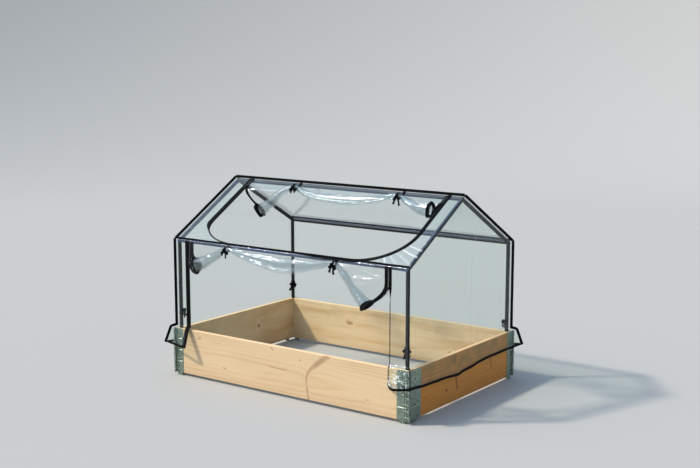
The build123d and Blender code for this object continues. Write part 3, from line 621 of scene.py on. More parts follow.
# The film round the eave is painted milky blue, a painted reflection of the sky on its bend
eaveSheenFilm = filmMaterial("welded clear vinyl film round the eave", 0.13, 1.4, "#E4EEF8", 1.1, ripple=60.0,
                        hazeAndSheenTone="#7EA0D4")
rolledFilm = filmMaterial("rolled clear vinyl film", 0.013, 1.0, "#F7F9F9", 0.95, ripple=75.0,
                          stretch=(0.35, 1.0, 1.0))
bindingTape = tapeMaterial("woven polyester binding tape", "#08090C", 0.0012)
zipTape = tapeMaterial("knitted polyester zip tape", "#07080B", 0.001)
coveredTape = tapeMaterial("zip tape under welded film", "#15181E", 0.001, coat=0.7)
edgeTape = tapeMaterial("zip tape with a glossy face", "#0A1226", 0.001, coat=0.4)
tieTape = tapeMaterial("woven polypropylene tie tape", "#0D0E11", 0.0015)
# The tubes' up-facing faces take a painted blue reflection of the sky
tubeCoat = blackMaterial("powder-coated steel tube", "#050706", 0.42, 900.0, 0.0002, overlay="#0D2040")
hubPlastic = blackMaterial("moulded black polypropylene", "#0E0F12", 0.34, 1400.0, 0.00015)
coilPlastic = blackMaterial("moulded nylon zip coil", "#1A1B1F", 0.25, 2000.0, 0.0001)
sewingThread = blackMaterial("twisted polyester sewing thread", "#202127", 0.5, 3000.0, 0.0001)
sliderMetal = blackMaterial("die-cast zip slider in black enamel", "#0B0B0D", 0.18, 600.0, 0.0001)
print("materials mixed")

# Each knot or crack: its two ends on the board's face, its width at each and how dark it is
frontKnots = [
    ((0.220, 0, 0.206), (0.192, 0, 0.186), 0.012, 0.012, 0.52),
    ((0.192, 0, 0.186), (0.163, 0, 0.163), 0.012, 0.011, 0.62),
    ((0.163, 0, 0.163), (0.139, 0, 0.145), 0.011, 0.008, 0.55),
    ((0.139, 0, 0.145), (0.122, 0, 0.127), 0.008, 0.006, 0.5),
    ((0.122, 0, 0.127), (0.112, 0, 0.098), 0.006, 0.005, 0.45),
    ((0.112, 0, 0.098), (0.115, 0, 0.062), 0.005, 0.004, 0.4),
    ((0.115, 0, 0.062), (0.123, 0, 0.014), 0.004, 0.0035, 0.62),
    ((-0.080, 0, 0.118), (0.010, 0, 0.115), 0.0013, 0.0016, 0.6),
    ((0.081, 0, 0.169), (0.083, 0, 0.169), 0.0035, 0.003, 0.75),
    ((-0.066, 0, 0.196), (-0.058, 0, 0.190), 0.0045, 0.003, 0.6),
    ((-0.462, 0, 0.181), (-0.474, 0, 0.175), 0.007, 0.004, 0.45),
    ((-0.330, 0, 0.072), (-0.312, 0, 0.069), 0.003, 0.002, 0.5),
    ((0.410, 0, 0.062), (0.418, 0, 0.061), 0.005, 0.003, 0.3),
]
rightKnots = [
    ((0, -0.128, 0.070), (0, -0.124, 0.069), 0.006, 0.005, 1.0),
    ((0, -0.060, 0.128), (0, -0.045, 0.060), 0.004, 0.007, 0.75),
    ((0, -0.062, 0.190), (0, -0.058, 0.150), 0.008, 0.003, 0.4),
    ((0, 0.215, 0.130), (0, 0.235, 0.080), 0.006, 0.003, 0.6),
    ((0, 0.300, 0.060), (0, 0.304, 0.058), 0.004, 0.003, 0.7),
]
backKnots = [((-0.25, 0, 0.13), (-0.23, 0, 0.128), 0.008, 0.006, 0.7),
             ((0.31, 0, 0.07), (0.30, 0, 0.066), 0.007, 0.005, 0.6)]
leftKnots = [((0, 0.12, 0.12), (0, 0.13, 0.118), 0.009, 0.006, 0.7),
             ((0, -0.2, 0.06), (0, -0.19, 0.06), 0.006, 0.005, 0.6)]
# Each board: the way of its grain, its pale, warm and dark tones, its knots, its weather and its green tint
boards = {
    "board_front": ("x", "#D6BC95", "#CBAA7E", "#7E5128", frontKnots, 0.10, 0.0),
    "board_back": ("x", "#E0C59B", "#D0A976", "#7A4D26", backKnots, 0.15, 0.1),
    "board_left": ("y", "#DDC093", "#CBA06A", "#7A4D26", leftKnots, 0.2, 0.1),
    # The right board's tones are deeper and more orange than the others': its own colour with painted shade
    "board_right": ("y", "#C6822F", "#AE6A22", "#5C3316", rightKnots, 0.3, 0.45),
}
for node, look in boards.items():
    dress(node, pineMaterial("planed pine " + node.removeprefix("board_"), *look)).data.shade_flat()


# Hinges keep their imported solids. The holes' places are worked out from each leaf's box.
hinge = {"hingeGap": 0.001, "firstHole": 0.057, "holePitch": 0.050, "holes": 3, "gauge": 0.0016,
         "pinHead": 0.0045}
corners = ("front_right", "front_left", "back_left", "back_right")
rivetPlaces, rivetRust = [], []


def cornerSides(corner):
    return 1 if "right" in corner else -1, 1 if "back" in corner else -1


for corner in corners:
    for boardKind in ("long", "short"):
        node = "hinge_leaf_" + corner + "_" + boardKind
        low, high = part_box(node)
        sideX, sideY = cornerSides(corner)
        if boardKind == "long":
            start, end = low.x if sideX > 0 else -high.x, boardX - hinge["hingeGap"]
            place = Vector((sideX * (end - (end - start) / 2), sideY * boardY, 0))
            outward, knuckle = Vector((0, sideY, 0)), ("X", boardX)
        else:
            start, end = low.y if sideY > 0 else -high.y, boardY - hinge["hingeGap"]
            place = Vector((sideX * boardX, sideY * (end - (end - start) / 2), 0))
            outward, knuckle = Vector((sideX, 0, 0)), ("Y", boardY)
        heights = [boardFoot + hinge["firstHole"] + row * hinge["holePitch"] for row in range(hinge["holes"])]
        spots = [place + Vector((0, 0, height)) for height in heights]
        holes = [tuple(spot) for spot in spots]
        rivetPlaces += [(spot + outward * hinge["gauge"], outward) for spot in spots]
        rivetRust += holes
        dress(node, zincMaterial("hot-dip galvanised sheet " + corner + " " + boardKind, holes, knuckle))
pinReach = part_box("hinge_pins")[1]
pinAxisX, pinAxisY = pinReach.x - hinge["pinHead"], pinReach.y - hinge["pinHead"]
pinHeads = [(x * pinAxisX, y * pinAxisY, pinReach.z) for x in (-1, 1) for y in (-1, 1)]
dress("hinge_pins", zincMaterial("galvanised pin wire", pinHeads))
print("bed dressed")

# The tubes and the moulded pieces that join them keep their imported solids
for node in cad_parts:
    if "connector" in node or node == "post_feet":
        dress(node, hubPlastic)
    elif node.startswith(("post_", "rafter_", "eave_bar", "ridge_bar")):
        dress(node, tubeCoat)
print("tubes dressed")

# Heights of the skirt, which leans out over the bed's rim, and how far it stands from the walls
skirt = {
    "bend": boardTop + 0.012, "rimZ": boardTop + 0.004, "hemZ": boardTop - 0.079,
    "cornerRim": boardX + 0.012 - wallX, "boardRim": boardX + 0.0028 - wallX,
    "tight": 0.001, "flare": 0.017, "spread": 0.0015, "sag": 0.002, "cornerLift": 0.016, "zipDrop": 0.0045,
    "zipFlare": 0.037, "zipLean": 0.33, "zipLift": 0.011,
}
zipTapeWidth = 0.015
frontZip = {"tape": zipTapeWidth, "left": wallX - 0.058 - zipTapeWidth,
            "right": wallX - 0.076 - zipTapeWidth, "thickness": 0.0012, "closedLength": 0.080,
            "leftSpare": 0.0090, "turned": 0.58, "lift": 0.0002, "coilOut": 0.0004, "stitchOut": 0.0006}
tightHem = skirt["cornerRim"] + skirt["tight"]
flaredHem = skirt["cornerRim"] + skirt["flare"]
boardHem = skirt["boardRim"] + skirt["spread"]
sideRest = boardY - 0.100
longRest = boardX - 0.100
hemZ, sag = skirt["hemZ"], skirt["sag"]


def roofUnderside(y):
    return ridgeZ - filmThickness / cos(pitch) - abs(y) * tan(pitch) - 0.0003


eaveTop = roofUnderside(wallY)
flared = (skirt["cornerRim"], flaredHem, hemZ + skirt["cornerLift"])
tight = (skirt["cornerRim"], tightHem, hemZ + skirt["cornerLift"] / 2)


# A wall's stops run along it. Each holds its place, how far it leans along with its reach, its
# top, its reach at the bed's rim and at the hem, and the hem's height.
def onBoard(place, hemHeight, top):
    return (place, 0, top, skirt["boardRim"], boardHem, hemHeight)


leftZipStop = (-frontZip["left"] - frontZip["tape"], skirt["zipLean"], eaveTop, skirt["cornerRim"],
               skirt["cornerRim"] + skirt["zipFlare"], hemZ + skirt["zipLift"])
# The right strip's lower corner is rounded: distance from the zip, and the rise of the hem there
cornerRound = ((0.0, 0.0160), (0.003, 0.0085), (0.006, 0.0050), (0.010, 0.0022), (0.016, 0.0004),
               (0.022, 0.0))
rightZipStops = [(frontZip["right"] + frontZip["tape"] + off, 0, eaveTop, skirt["boardRim"], boardHem,
                  hemZ - skirt["zipDrop"] + rise)
                 for off, rise in cornerRound]
# How far the hem of a gable sags or rises along the board, in sags
rightSag = ((-sideRest, -1.5), (-sideRest / 1.75, -3.5), (-sideRest / 8, -8), (0, -5), (sideRest / 1.75, 2),
            (sideRest, 2.5))
leftSag = ((-sideRest, 2), (0, 0), (sideRest, 2))


def gableStops(sags):
    return [onBoard(y, hemZ + k * sag, roofUnderside(y)) for y, k in sags]


# A wall's folds are creases from the packet or the wind: place, low end, high end, width, depth
walls = {
    "right_gable_film": {
        "normal": (1, 0), "along": (0, 1), "seed": 11, "crumple": 0.3,
        "stops": [(-wallY, -1, eaveTop, *tight), *gableStops(rightSag), (wallY, 1, eaveTop, *flared)],
        "folds": [(0.066, 0.26, 0.62, 0.006, 0.0028), (0.021, 0.38, 0.60, 0.005, 0.0022),
                  (0.092, 0.60, 0.69, 0.005, 0.0018), (0.120, 0.25, 0.36, 0.007, 0.0018),
                  (-0.345, 0.26, 0.42, 0.006, 0.0015)],
    },
    "left_gable_film": {
        "normal": (-1, 0), "along": (0, 1), "seed": 23, "crumple": 0.3,
        "stops": [(-wallY, -1, eaveTop, *flared), *gableStops(leftSag), (wallY, 1, eaveTop, *flared)],
        "folds": [(0.135, 0.26, 0.62, 0.006, 0.002), (-0.120, 0.30, 0.66, 0.006, 0.002)],
    },
    "back_wall_film": {
        "normal": (0, 1), "along": (1, 0), "seed": 37, "crumple": 0.3,
        "stops": [(-wallX, -1, eaveTop, *flared), onBoard(-longRest, hemZ + sag, eaveTop),
                  onBoard(0, hemZ - sag, eaveTop), onBoard(longRest, hemZ + sag, eaveTop),
                  (wallX, 1, eaveTop, *flared)],
        "folds": [(-0.30, 0.26, 0.56, 0.006, 0.002), (0.0, 0.25, 0.57, 0.006, 0.0024),
                  (0.30, 0.27, 0.55, 0.006, 0.002)],
    },
    "front_left_film": {
        "normal": (0, -1), "along": (1, 0), "seed": 41, "crumple": 0.6,
        "stops": [(-wallX, -1, eaveTop, *flared), leftZipStop], "folds": [],
    },
    "front_right_film": {
        "normal": (0, -1), "along": (1, 0), "seed": 43, "crumple": 2.6,
        "stops": rightZipStops + [(wallX, 1, eaveTop, *tight)], "folds": [], "turn": True, "step": 0.0026,
    },
}
panel = {"step": 0.0105, "rows": 36, "rimRows": 7, "skirtRows": 26, "edge": 0.035, "swell": 0.0015,
         "creaseCount": 24, "creaseDepth": 0.0015, "creaseWidth": 0.009, "creaseReach": 0.12,
         "ripple": 0.001, "rippleLength": 0.019, "hang": 0.0022, "hangLength": 0.027,
         "crumples": 60, "crumpleDepth": 0.006, "crumpleWidth": 0.005, "crumpleReach": 0.04}
hemTape = {"height": 0.010, "thickness": 0.002}


# How much of the right wall's zip faces the front: all of it where closed, under half once it hangs
def zipFace(z):
    closed = frontZip["closedLength"]
    return 1 - frontZip["turned"] * smoothStep(foldZ - z, closed - 0.006, closed + 0.07)


# Outward reach at each height: none above the bend, rim at the bed's rim and hem at the foot
def skirtReach(heights, rim, hem, low, passes=0):
    bend, rimZ = skirt["bend"], skirt["rimZ"]
    down = np.clip((bend - heights) / (bend - rimZ), 0, 1)
    below = np.clip((rimZ - heights) / (rimZ - low), 0, 1)
    reach = rim * down + (hem - rim) * below
    for _ in range(passes):  # the film can't fold sharply where it leans out over the rim
        reach[1:-1] = (reach[:-2] + 2 * reach[1:-1] + reach[2:]) / 4
    return reach


# Heights down a seam or a zip: so many above the bend, over the rim and down the skirt
def skirtHeights(top, low, wallCount, rimCount, hemCount):
    return np.concatenate([np.linspace(top, skirt["bend"], wallCount),
                           np.linspace(skirt["bend"], skirt["rimZ"], rimCount)[1:],
                           np.linspace(skirt["rimZ"], low, hemCount)[1:]])


# A wall as places along it, outward reach and height, with the top row first
def wallPoints(wall):
    stops = np.array(wall["stops"])
    places = []
    for k in range(len(stops) - 1):
        count = max(6, int(abs(stops[k + 1][0] - stops[k][0]) / wall.get("step", panel["step"])))
        places.append(np.linspace(k, k + 1, count, endpoint=False))
    places = np.concatenate(places + [[len(stops) - 1.0]])
    along, lean, top, rim, hem, low = [np.interp(places, np.arange(len(stops)), stops[:, c])[None, :]
                                       for c in range(6)]
    bend, rimZ = skirt["bend"], skirt["rimZ"]
    down, over, under = [np.linspace(0, 1, panel[rows])[:, None] for rows in ("rows", "rimRows", "skirtRows")]
    overRim = np.repeat(blend(bend, rimZ, over[1:]), along.shape[1], axis=1)
    z = np.concatenate([blend(top, bend, down), overRim, blend(rimZ, low, under[1:])])
    reach = skirtReach(z, rim, hem, low, 3)
    if wall.get("turn"):  # under its slider the zip turns inwards and draws the film's edge along
        nearZip = 1 - smoothStep(along - along[:, :1], 0.0, 0.05)
        along = along - frontZip["tape"] * (1 - zipFace(z)) * nearZip
    return along + lean * reach, reach - filmThickness / 2, z


def wallRelief(wall, along, z):
    fromSide = np.minimum(along - along[:, :1], along[:, -1:] - along)
    fromTop = z[:1] - z
    seed = wall["seed"]
    relief = creases(along, z, seed, panel["creaseCount"], panel["creaseDepth"], panel["creaseWidth"],
                     panel["creaseReach"], 0.75)
    relief += swell(along, z, seed + 1, panel["swell"])
    ripple = np.sin(along / panel["rippleLength"] + 2 * np.sin(z * 9 + seed))
    relief += panel["ripple"] * ripple * smoothStep(fromTop, 0.0, 0.25)
    for place, low, high, width, depth in wall["folds"]:
        ends = smoothStep(z, low - 0.04, low + 0.02) * (1 - smoothStep(z, high - 0.02, high + 0.04))
        relief += depth * np.exp(-np.abs(along - place) / width) * ends
    offSeam = smoothStep(fromSide, 0.016, 0.016 + panel["edge"])
    relief *= offSeam * smoothStep(fromTop, 0.02, 0.02 + panel["edge"])
    # Below the rim the skirt only stands out from the boards, never in
    loose = smoothStep(skirt["rimZ"] - z, 0.0, 0.05)
    wave = np.sin(along / panel["hangLength"] + seed + 1.5 * np.sin(along / 0.08))
    hang = panel["hang"] * wall["crumple"] * loose * (1 + wave)
    rough = np.abs(creases(along, z, seed + 2, panel["crumples"], panel["crumpleDepth"],
                           panel["crumpleWidth"], panel["crumpleReach"], 0.3))
    rough = np.minimum(rough, panel["crumpleDepth"])
    inSkirt = smoothStep(skirt["bend"] - z, 0.0, 0.02) * smoothStep(fromSide, 0.0, 0.012)
    inSkirt = inSkirt * smoothStep(z - z[-1:], 0.006, 0.02)
    return relief * (1 - inSkirt) + hang + wall["crumple"] * rough * inSkirt


def wallWorld(wall, along, outward, z):
    (nx, ny), (ax, ay) = wall["normal"], wall["along"]
    return np.stack([nx * (wallX + outward) + ax * along, ny * (wallY + outward) + ay * along, z], axis=-1)


wallFilm = {"right_gable_film": gableFilm, "front_right_film": skirtFilm}
films, hemEdges = {}, {}
stitchRuns = []
for name, wall in walls.items():
    along, outward, z = wallPoints(wall)
    outward = outward + wallRelief(wall, along, z)
    points = wallWorld(wall, along, outward, z)
    flip = wall["normal"] in ((1, 0), (0, -1))
    films[name] = gridObject(name.replace("_film", "_sheet"), points, wallFilm.get(name, clearFilm),
                             np.stack([along, z], axis=-1), flip=flip)
    hemEdges[name] = (points[-1], points[-4], 1 if flip else -1)
print("walls hung")


# The hem is a binding folded over the film's lower edge and sewn through
hems = {}
for name, (bottom, above, way) in hemEdges.items():
    rise = unit(above - bottom)
    facing = unit(np.cross(unit(np.gradient(bottom, axis=0)), rise)) * way
    middle = bottom + rise * hemTape["height"] / 2
    hems[name] = tapeObject(name.replace("_film", "_hem"), middle, rise, facing, hemTape["height"],
                            hemTape["thickness"], bindingTape)
    stitchRuns.append((middle + rise * 0.0035 + facing * hemTape["thickness"] / 2, facing))
wallDrop = eaveTop - hemZ
gableRise = wallY * tan(pitch)
wallCuts = {  # the cut's width and length, and its area where the cut has a gable's point
    "right_gable_film": (2 * wallY, wallDrop + gableRise, 2 * wallY * (wallDrop + gableRise / 2)),
    "left_gable_film": (2 * wallY, wallDrop + gableRise, 2 * wallY * (wallDrop + gableRise / 2)),
    "back_wall_film": (2 * wallX, wallDrop, None),
    "front_left_film": (wallX - frontZip["left"] - frontZip["tape"], wallDrop, None),
    "front_right_film": (wallX - frontZip["right"] - frontZip["tape"], wallDrop, None),
}
for name, film in films.items():
    settle(film, "clear_film", name)
    settle(hems[name], "woven_tape")
    width, length, area = wallCuts[name]
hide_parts("hem_tapes")
print("hems bound")

# The opening's edge on one side: a quarter of an ellipse at the eave, then straight to the ridge
def openingEdge(side, grow, top, count=44):
    edge, along, up = ((openingLeft, roof["leftAlong"], roof["leftUp"]) if side < 0
                       else (openingRight, roof["rightAlong"], roof["rightUp"]))
    bottom = roof["eaveGap"] + roof["tape"]
    turn = np.linspace(pi / 2, 0, count)
    x = side * (edge - along + (along + grow) * np.cos(turn))
    w = bottom + up - (up + grow) * np.sin(turn)
    straight = np.linspace(bottom + up, top, 24)[1:]
    return np.concatenate([x, np.full(len(straight), side * (edge + grow))]), np.concatenate([w, straight])


roofCrease = {"count": 22, "depth": 0.0013, "width": 0.009, "reach": 0.11, "swell": 0.0011,
              "fanDepth": 0.0012, "edge": (0.018, 0.055), "stripEdge": (0.012, 0.03), "topDepth": 0.0012}


def roofRelief(x, up, seed):
    relief = creases(x, up, seed, roofCrease["count"], roofCrease["depth"], roofCrease["width"],
                     roofCrease["reach"], 0.5)
    return relief + swell(x, up, seed + 3, roofCrease["swell"])


x, up = np.meshgrid(np.linspace(-wallX, wallX, 110), np.linspace(0, slopeTop, 42))
fade = smoothStep(np.minimum(wallX - np.abs(x), np.minimum(up, slopeLength - up)), *roofCrease["edge"])
backRoof = gridObject("back_roof_sheet",
                      slopePoint(1, x, up, -filmThickness / 2 + roofRelief(x, up, 61) * fade),
                      roofFilm, np.stack([x, up], -1))
settle(backRoof, "clear_film", "back_roof_film")


def joinPieces(pieces, name):
    with bpy.context.temp_override(active_object=pieces[0], selected_editable_objects=pieces):
        bpy.ops.object.join()
    pieces[0].name = name
    pieces[0].data.name = name
    return pieces[0]


# The front slope is what the opening leaves: two side strips, drawn tight into short creases
# round the curved corners, and the strip that stays under the ridge
frontStrips = []
for side in (-1, 1):
    edgeX, edgeUp = openingEdge(side, roof["tape"] * 0.4, slopeTop)
    share = np.linspace(0, 1, 20)[None, :]
    x = side * wallX + (edgeX[:, None] - side * wallX) * share
    up = np.maximum(np.broadcast_to(edgeUp[:, None], x.shape), 0.0)
    middle = leftFan if side < 0 else rightFan
    angle = np.arctan2(-wallY + up * cos(pitch) - middle.y, x - middle.x)
    fan = roofCrease["fanDepth"] * np.sin(fanLobes["folds"] * angle + fanLobes["phase"])
    fan *= 1 - smoothStep(-wallY + up * cos(pitch) - middle.y, *fanLobes["below"])
    fade = smoothStep(np.minimum(wallX - np.abs(x), up), *roofCrease["stripEdge"])
    fade = fade * smoothStep(np.abs(x - edgeX[:, None]), *roofCrease["stripEdge"])
    lift = -filmThickness / 2 + (roofRelief(x, up, 71 + side) + fan) * fade
    frontStrips.append(gridObject("strip", slopePoint(-1, x, up, lift), roofFilm, np.stack([x, up], -1),
                                  flip=side > 0))
topX = np.linspace(-openingLeft - 0.005, openingRight + 0.005, 120)
x, up = np.meshgrid(topX, np.linspace(slopeLength - roof["top"], slopeTop, 14))
fade = smoothStep(np.minimum(x + openingLeft, openingRight - x), 0.01, 0.05)
fade = fade * smoothStep(slopeLength - up, 0.018, 0.04)
gather = roofCrease["topDepth"] * np.sin(x / 0.021 + 2 * np.sin(x * 11))
lift = -filmThickness / 2 + (roofRelief(x, up, 83) + gather) * fade
frontStrips.append(gridObject("strip", slopePoint(-1, x, up, lift), roofFilm, np.stack([x, up], -1),
                              flip=True))
# Round the front eave the film is drawn over its tube, and this bend catches the light; its film also carries
# a painted blue reflection of the sky
eaveBend = {"up": 0.013, "down": 0.012, "gap": 0.0011}
x = np.linspace(-wallX + 0.003, wallX - 0.003, 260)
wobble = 0.0003 * np.sin(x / 0.011 + 3 * np.sin(x * 31)) + 0.0002 * np.sin(x / 0.0047)
profile = [slopePoint(-1, x, eaveBend["up"], -filmThickness / 2)]
for tilt in np.linspace(pitch, pi / 2, 12):
    reach = tubeRadius + eaveBend["gap"] + wobble
    profile.append(np.stack([x, eaveTube.y - reach * sin(tilt), eaveTube.z + reach * cos(tilt)], axis=-1))
foot = [x, np.full_like(x, -wallY + filmThickness / 2), np.full_like(x, foldZ - eaveBend["down"])]
profile.append(np.stack(foot, axis=-1))
eaveUv = np.stack(np.meshgrid(np.arange(len(profile)) * 0.002, x, indexing="ij"), -1)
frontStrips.append(gridObject("strip", np.array(profile), eaveSheenFilm, eaveUv))
frontRoof = joinPieces(frontStrips, "front_roof_sheet")
settle(frontRoof, "clear_film", "front_roof_film")
cornerPieces = (1 - pi / 4) * (roof["leftAlong"] * roof["leftUp"] + roof["rightAlong"] * roof["rightUp"])
stripArea = (roof["leftStrip"] + roof["rightStrip"]) * slopeLength + cornerPieces
stripArea += (openingLeft + openingRight) * roof["top"]
stripArea += 2 * wallX * (eaveBend["up"] + eaveBend["down"])
print("roof sheets laid")

seam = {"width": 0.012, "eaveWidth": 0.0085, "thickness": 0.002, "gap": 0.0004, "wobble": 0.0006,
        "stitchIn": 0.0030, "eaveUp": 0.0035, "cornerUp": 0.0035, "cornerOut": 0.0008, "overEnds": 0.002,
        "pastRidge": 0.6, "eaveLean": (0.3, 0.95)}
seamPieces = []


def seamTape(points, outward, seed, width=seam["width"]):
    points = np.asarray(points, float)
    ahead = unit(np.gradient(points, axis=0))
    outward = unit(np.broadcast_to(np.asarray(outward, float), points.shape))
    outward = unit(outward - ahead * np.sum(outward * ahead, axis=1, keepdims=True))
    facing = unit(np.cross(ahead, outward))
    length = alongLength(points)
    wave = seam["wobble"] * np.sin(length / 0.021 + seed) * np.sin(length / 0.13)
    centres = points + outward * (seam["gap"] + width / 2) + facing * wave[:, None]
    seamPieces.append(tapeObject("seam", centres, outward, facing, width, seam["thickness"], bindingTape))
    for side in (-1, 1):
        line = centres - outward * (width / 2 - seam["stitchIn"]) + facing * side * seam["thickness"] / 2
        stitchRuns.append((line, facing * side))


def straightRun(start, end, step=0.012):
    start, end = np.array(start, float), np.array(end, float)
    count = max(3, int(np.linalg.norm(end - start) / step))
    return start + (end - start) * np.linspace(0, 1, count)[:, None]


# Where two seams meet, each runs on by half its width, so that the bindings close the corner
runOn = (seam["gap"] + seam["width"] / 2) * tan(pitch)
for sideX in (-1, 1):
    for sideY in (-1, 1):
        low = (sideX * wallX, sideY * wallY, foldZ)
        past = runOn * seam["pastRidge"]
        high = (sideX * wallX, -sideY * past, ridgeZ + past * tan(pitch))
        seamTape(straightRun(low, high), (sideX, sideY * sin(pitch), cos(pitch)), sideX + 2 * sideY)
        hem = tight if (sideX, sideY) == (1, -1) else flared
        heights = skirtHeights(foldZ + seam["cornerUp"], hem[2], 32, 6, 9)
        reach = skirtReach(heights, *hem) + seam["cornerOut"]
        line = np.stack([sideX * (wallX + reach), sideY * (wallY + reach), heights], axis=1)
        seamTape(line, (sideX, sideY, 0), 3 * sideX + sideY)
for sideY in (-1, 1):
    ends = [slopePoint(sideY, x * (wallX + seam["overEnds"]), seam["eaveUp"]) for x in (-1, 1)]
    outwards, upwards = seam["eaveLean"]
    seamTape(straightRun(*ends), (0, sideY * outwards, upwards), sideY, seam["eaveWidth"])
ridgeEnds = [(x * (wallX + seam["overEnds"]), 0, ridgeZ) for x in (-1, 1)]
seamTape(straightRun(*ridgeEnds), (0, 0, 1), 5)
settle(joinPieces(seamPieces, "seam_bindings"), "woven_tape", "seam_tapes")
print("seams bound")

neck = 0.0105
# Each stop: share of the half width, drop below the eave's fold, half depth, half height
frontRollStops = [
    (-0.927, 0.105, 0.027, 0.035), (-0.800, 0.077, 0.023, 0.029), (-0.683, 0.047, 0.017, 0.020),
    (-0.562, 0.0135, neck, neck), (-0.425, 0.025, 0.012, 0.019), (-0.219, 0.039, 0.015, 0.030),
    (-0.019, 0.047, 0.016, 0.034), (0.179, 0.041, 0.015, 0.030), (0.371, 0.025, 0.012, 0.019),
    (0.520, 0.0135, neck, neck), (0.614, 0.049, 0.015, 0.015), (0.717, 0.109, 0.021, 0.020),
    (0.830, 0.162, 0.034, 0.024),
]
# Here the second and third figures are the distance below the ridge and the lift off the slope
roofRollStops = [
    (-0.800, 0.138, -0.070, 0.014, 0.028), (-0.680, 0.117, -0.038, 0.023, 0.024),
    (-0.575, 0.082, 0.0, 0.015, 0.016), (-0.447, 0.048, 0.014, neck, neck),
    (-0.335, 0.073, 0.0115, 0.012, 0.015), (-0.183, 0.089, 0.006, 0.014, 0.017),
    (0.000, 0.093, 0.0035, 0.015, 0.019), (0.193, 0.093, 0.0035, 0.015, 0.019),
    (0.410, 0.079, 0.0095, 0.013, 0.016), (0.605, 0.048, 0.014, neck, neck),
    (0.715, 0.074, 0.009, 0.015, 0.017), (0.825, 0.092, -0.002, 0.022, 0.024),
    (0.945, 0.096, -0.010, 0.027, 0.031),
]
frontRollOut = 0.017


def frontRollCentre(share, drop):
    width = frontZip["left"] if share < 0 else frontZip["right"]
    return (share * width, -wallY - frontRollOut, foldZ - drop)


def roofRollCentre(share, below, lift):
    width = openingLeft if share < 0 else openingRight
    return tuple(slopePoint(-1, share * width, slopeLength - below, lift))


frontRoll = np.array([(*frontRollCentre(*s[:2]), *s[2:]) for s in frontRollStops])
roofRoll = np.array([(*roofRollCentre(*s[:3]), *s[3:]) for s in roofRollStops])
spiral = {"turns": 3.7, "perTurn": 22, "inner": 0.42, "endInner": 0.70, "openEnd": 0.09, "hang": 44,
          "lead": 6, "pleat": 0.085, "pleats": 9, "dent": 0.05, "crumple": 0.0048, "folds": 120,
          "tuck": 0.003, "tensionWidth": 0.0055}
# Folds drawn across the right end of the front flap: drop below the eave's fold, slope and depth
tension = ((0.054, -2.0, 0.008), (0.058, 0.3, 0.010), (0.062, 2.6, 0.008))


# A flap is one sheet: it leaves its seam, hangs to the roll and winds up inside it.
# at holds distances along the roll, and the flap's start gives the sheet's first points for them.
def rolledGrid(kind, flap, at):
    roll, total, seed = flap["roll"], flap["width"], flap["seed"]
    stops = alongLength(roll[:, :3])
    stops = stops / stops[-1] * total
    line = smoothLine(stops, roll, at)
    centre, halfDepth, halfHeight = line[:, :3], line[:, 3], line[:, 4]
    ahead, behind = [smoothLine(stops, roll[:, :3], np.clip(at + step, 0, total)) for step in (0.002, -0.002)]
    side = np.array([0.0, 1.0, 0.0])
    up = unit(np.cross(unit(ahead - behind), side))
    theta = np.linspace(0, 2 * pi * spiral["turns"], int(spiral["turns"] * spiral["perTurn"]))
    phi = (flap["arrive"] - theta)[:, None]
    s, turn = np.meshgrid(at, theta)
    ties = stops[np.isclose(roll[:, 3], neck)]
    fromTie = np.min(np.abs(at[:, None] - ties[None, :]), axis=1)
    gathered = (smoothStep(fromTie, 0.008, 0.03) * (1 - smoothStep(fromTie, 0.05, 0.16)))[None, :]
    fromEnd = np.minimum(at, total - at)
    inner = blend(spiral["endInner"], spiral["inner"], smoothStep(fromEnd, 0.015, spiral["openEnd"]))
    shrink = 1 - (1 - inner[None, :]) * turn / theta[-1]
    pleats = spiral["pleat"] * gathered * np.sin(spiral["pleats"] * turn + 5 * np.sin(s * 9 + seed))
    dents = np.sin(2 * turn + s * 19 + seed) + 0.7 * np.sin(3 * turn - s * 33 + 2 * seed)
    dents = spiral["dent"] * (dents + 0.5 * np.sin(s * 70 + turn + seed))
    free = (1 - 0.8 * np.exp(-(fromTie / 0.02) ** 2))[None, :]
    folds = creases(s, turn * 0.02, int(seed * 10), spiral["folds"], spiral["crumple"], 0.005, 0.05, 0.2)
    folds = folds * smoothStep(fromTie, 0.01, 0.05)[None, :]
    radius = shrink * (1 - spiral["pleat"] * gathered + pleats + dents * free * 0.5)
    wound = (centre[None] + side * ((halfDepth[None] * radius + folds) * np.cos(phi))[..., None]
             + up[None] * ((halfHeight[None] * radius + folds) * np.sin(phi))[..., None])
    start, lead = flap["start"](at)
    meet, way = wound[0], unit(wound[1] - wound[0])
    gap = np.linalg.norm(meet - start, axis=1, keepdims=True)
    h = np.linspace(0, 1, spiral["hang"], endpoint=False)[:, None, None]
    drop = ((2 * h**3 - 3 * h**2 + 1) * start + (h**3 - 2 * h**2 + h) * gap * flap["way"]
            + (3 * h**2 - 2 * h**3) * meet + (h**3 - h**2) * gap * way)
    share = h[..., 0]
    tuck = np.sin(pi * share) * spiral["tuck"] * np.sin(at * 60 + seed + 4 * share + 2 * np.sin(at * 23))
    drop = drop + side * (tuck * np.clip(gap[:, 0] / 0.05, 0, 1))[..., None]
    if kind == "front":
        window = smoothStep(at, total - 0.16, total - 0.10)
        window = window * (1 - smoothStep(at, total - 0.03, total - 0.015))
        for low, slope, deep in tension:
            off = drop[..., 2] - foldZ + low + 0.10 * (total - at) * slope
            ridge = deep * np.exp(-np.abs(off) / spiral["tensionWidth"]) * window
            drop = drop - side * ridge[..., None]
    points = np.concatenate([lead, drop, wound])
    down = np.concatenate([[0], np.cumsum(np.linalg.norm(np.diff(points, axis=0), axis=2).mean(axis=1))])
    return points, np.stack(np.meshgrid(down, at, indexing="ij"), -1)[..., ::-1]


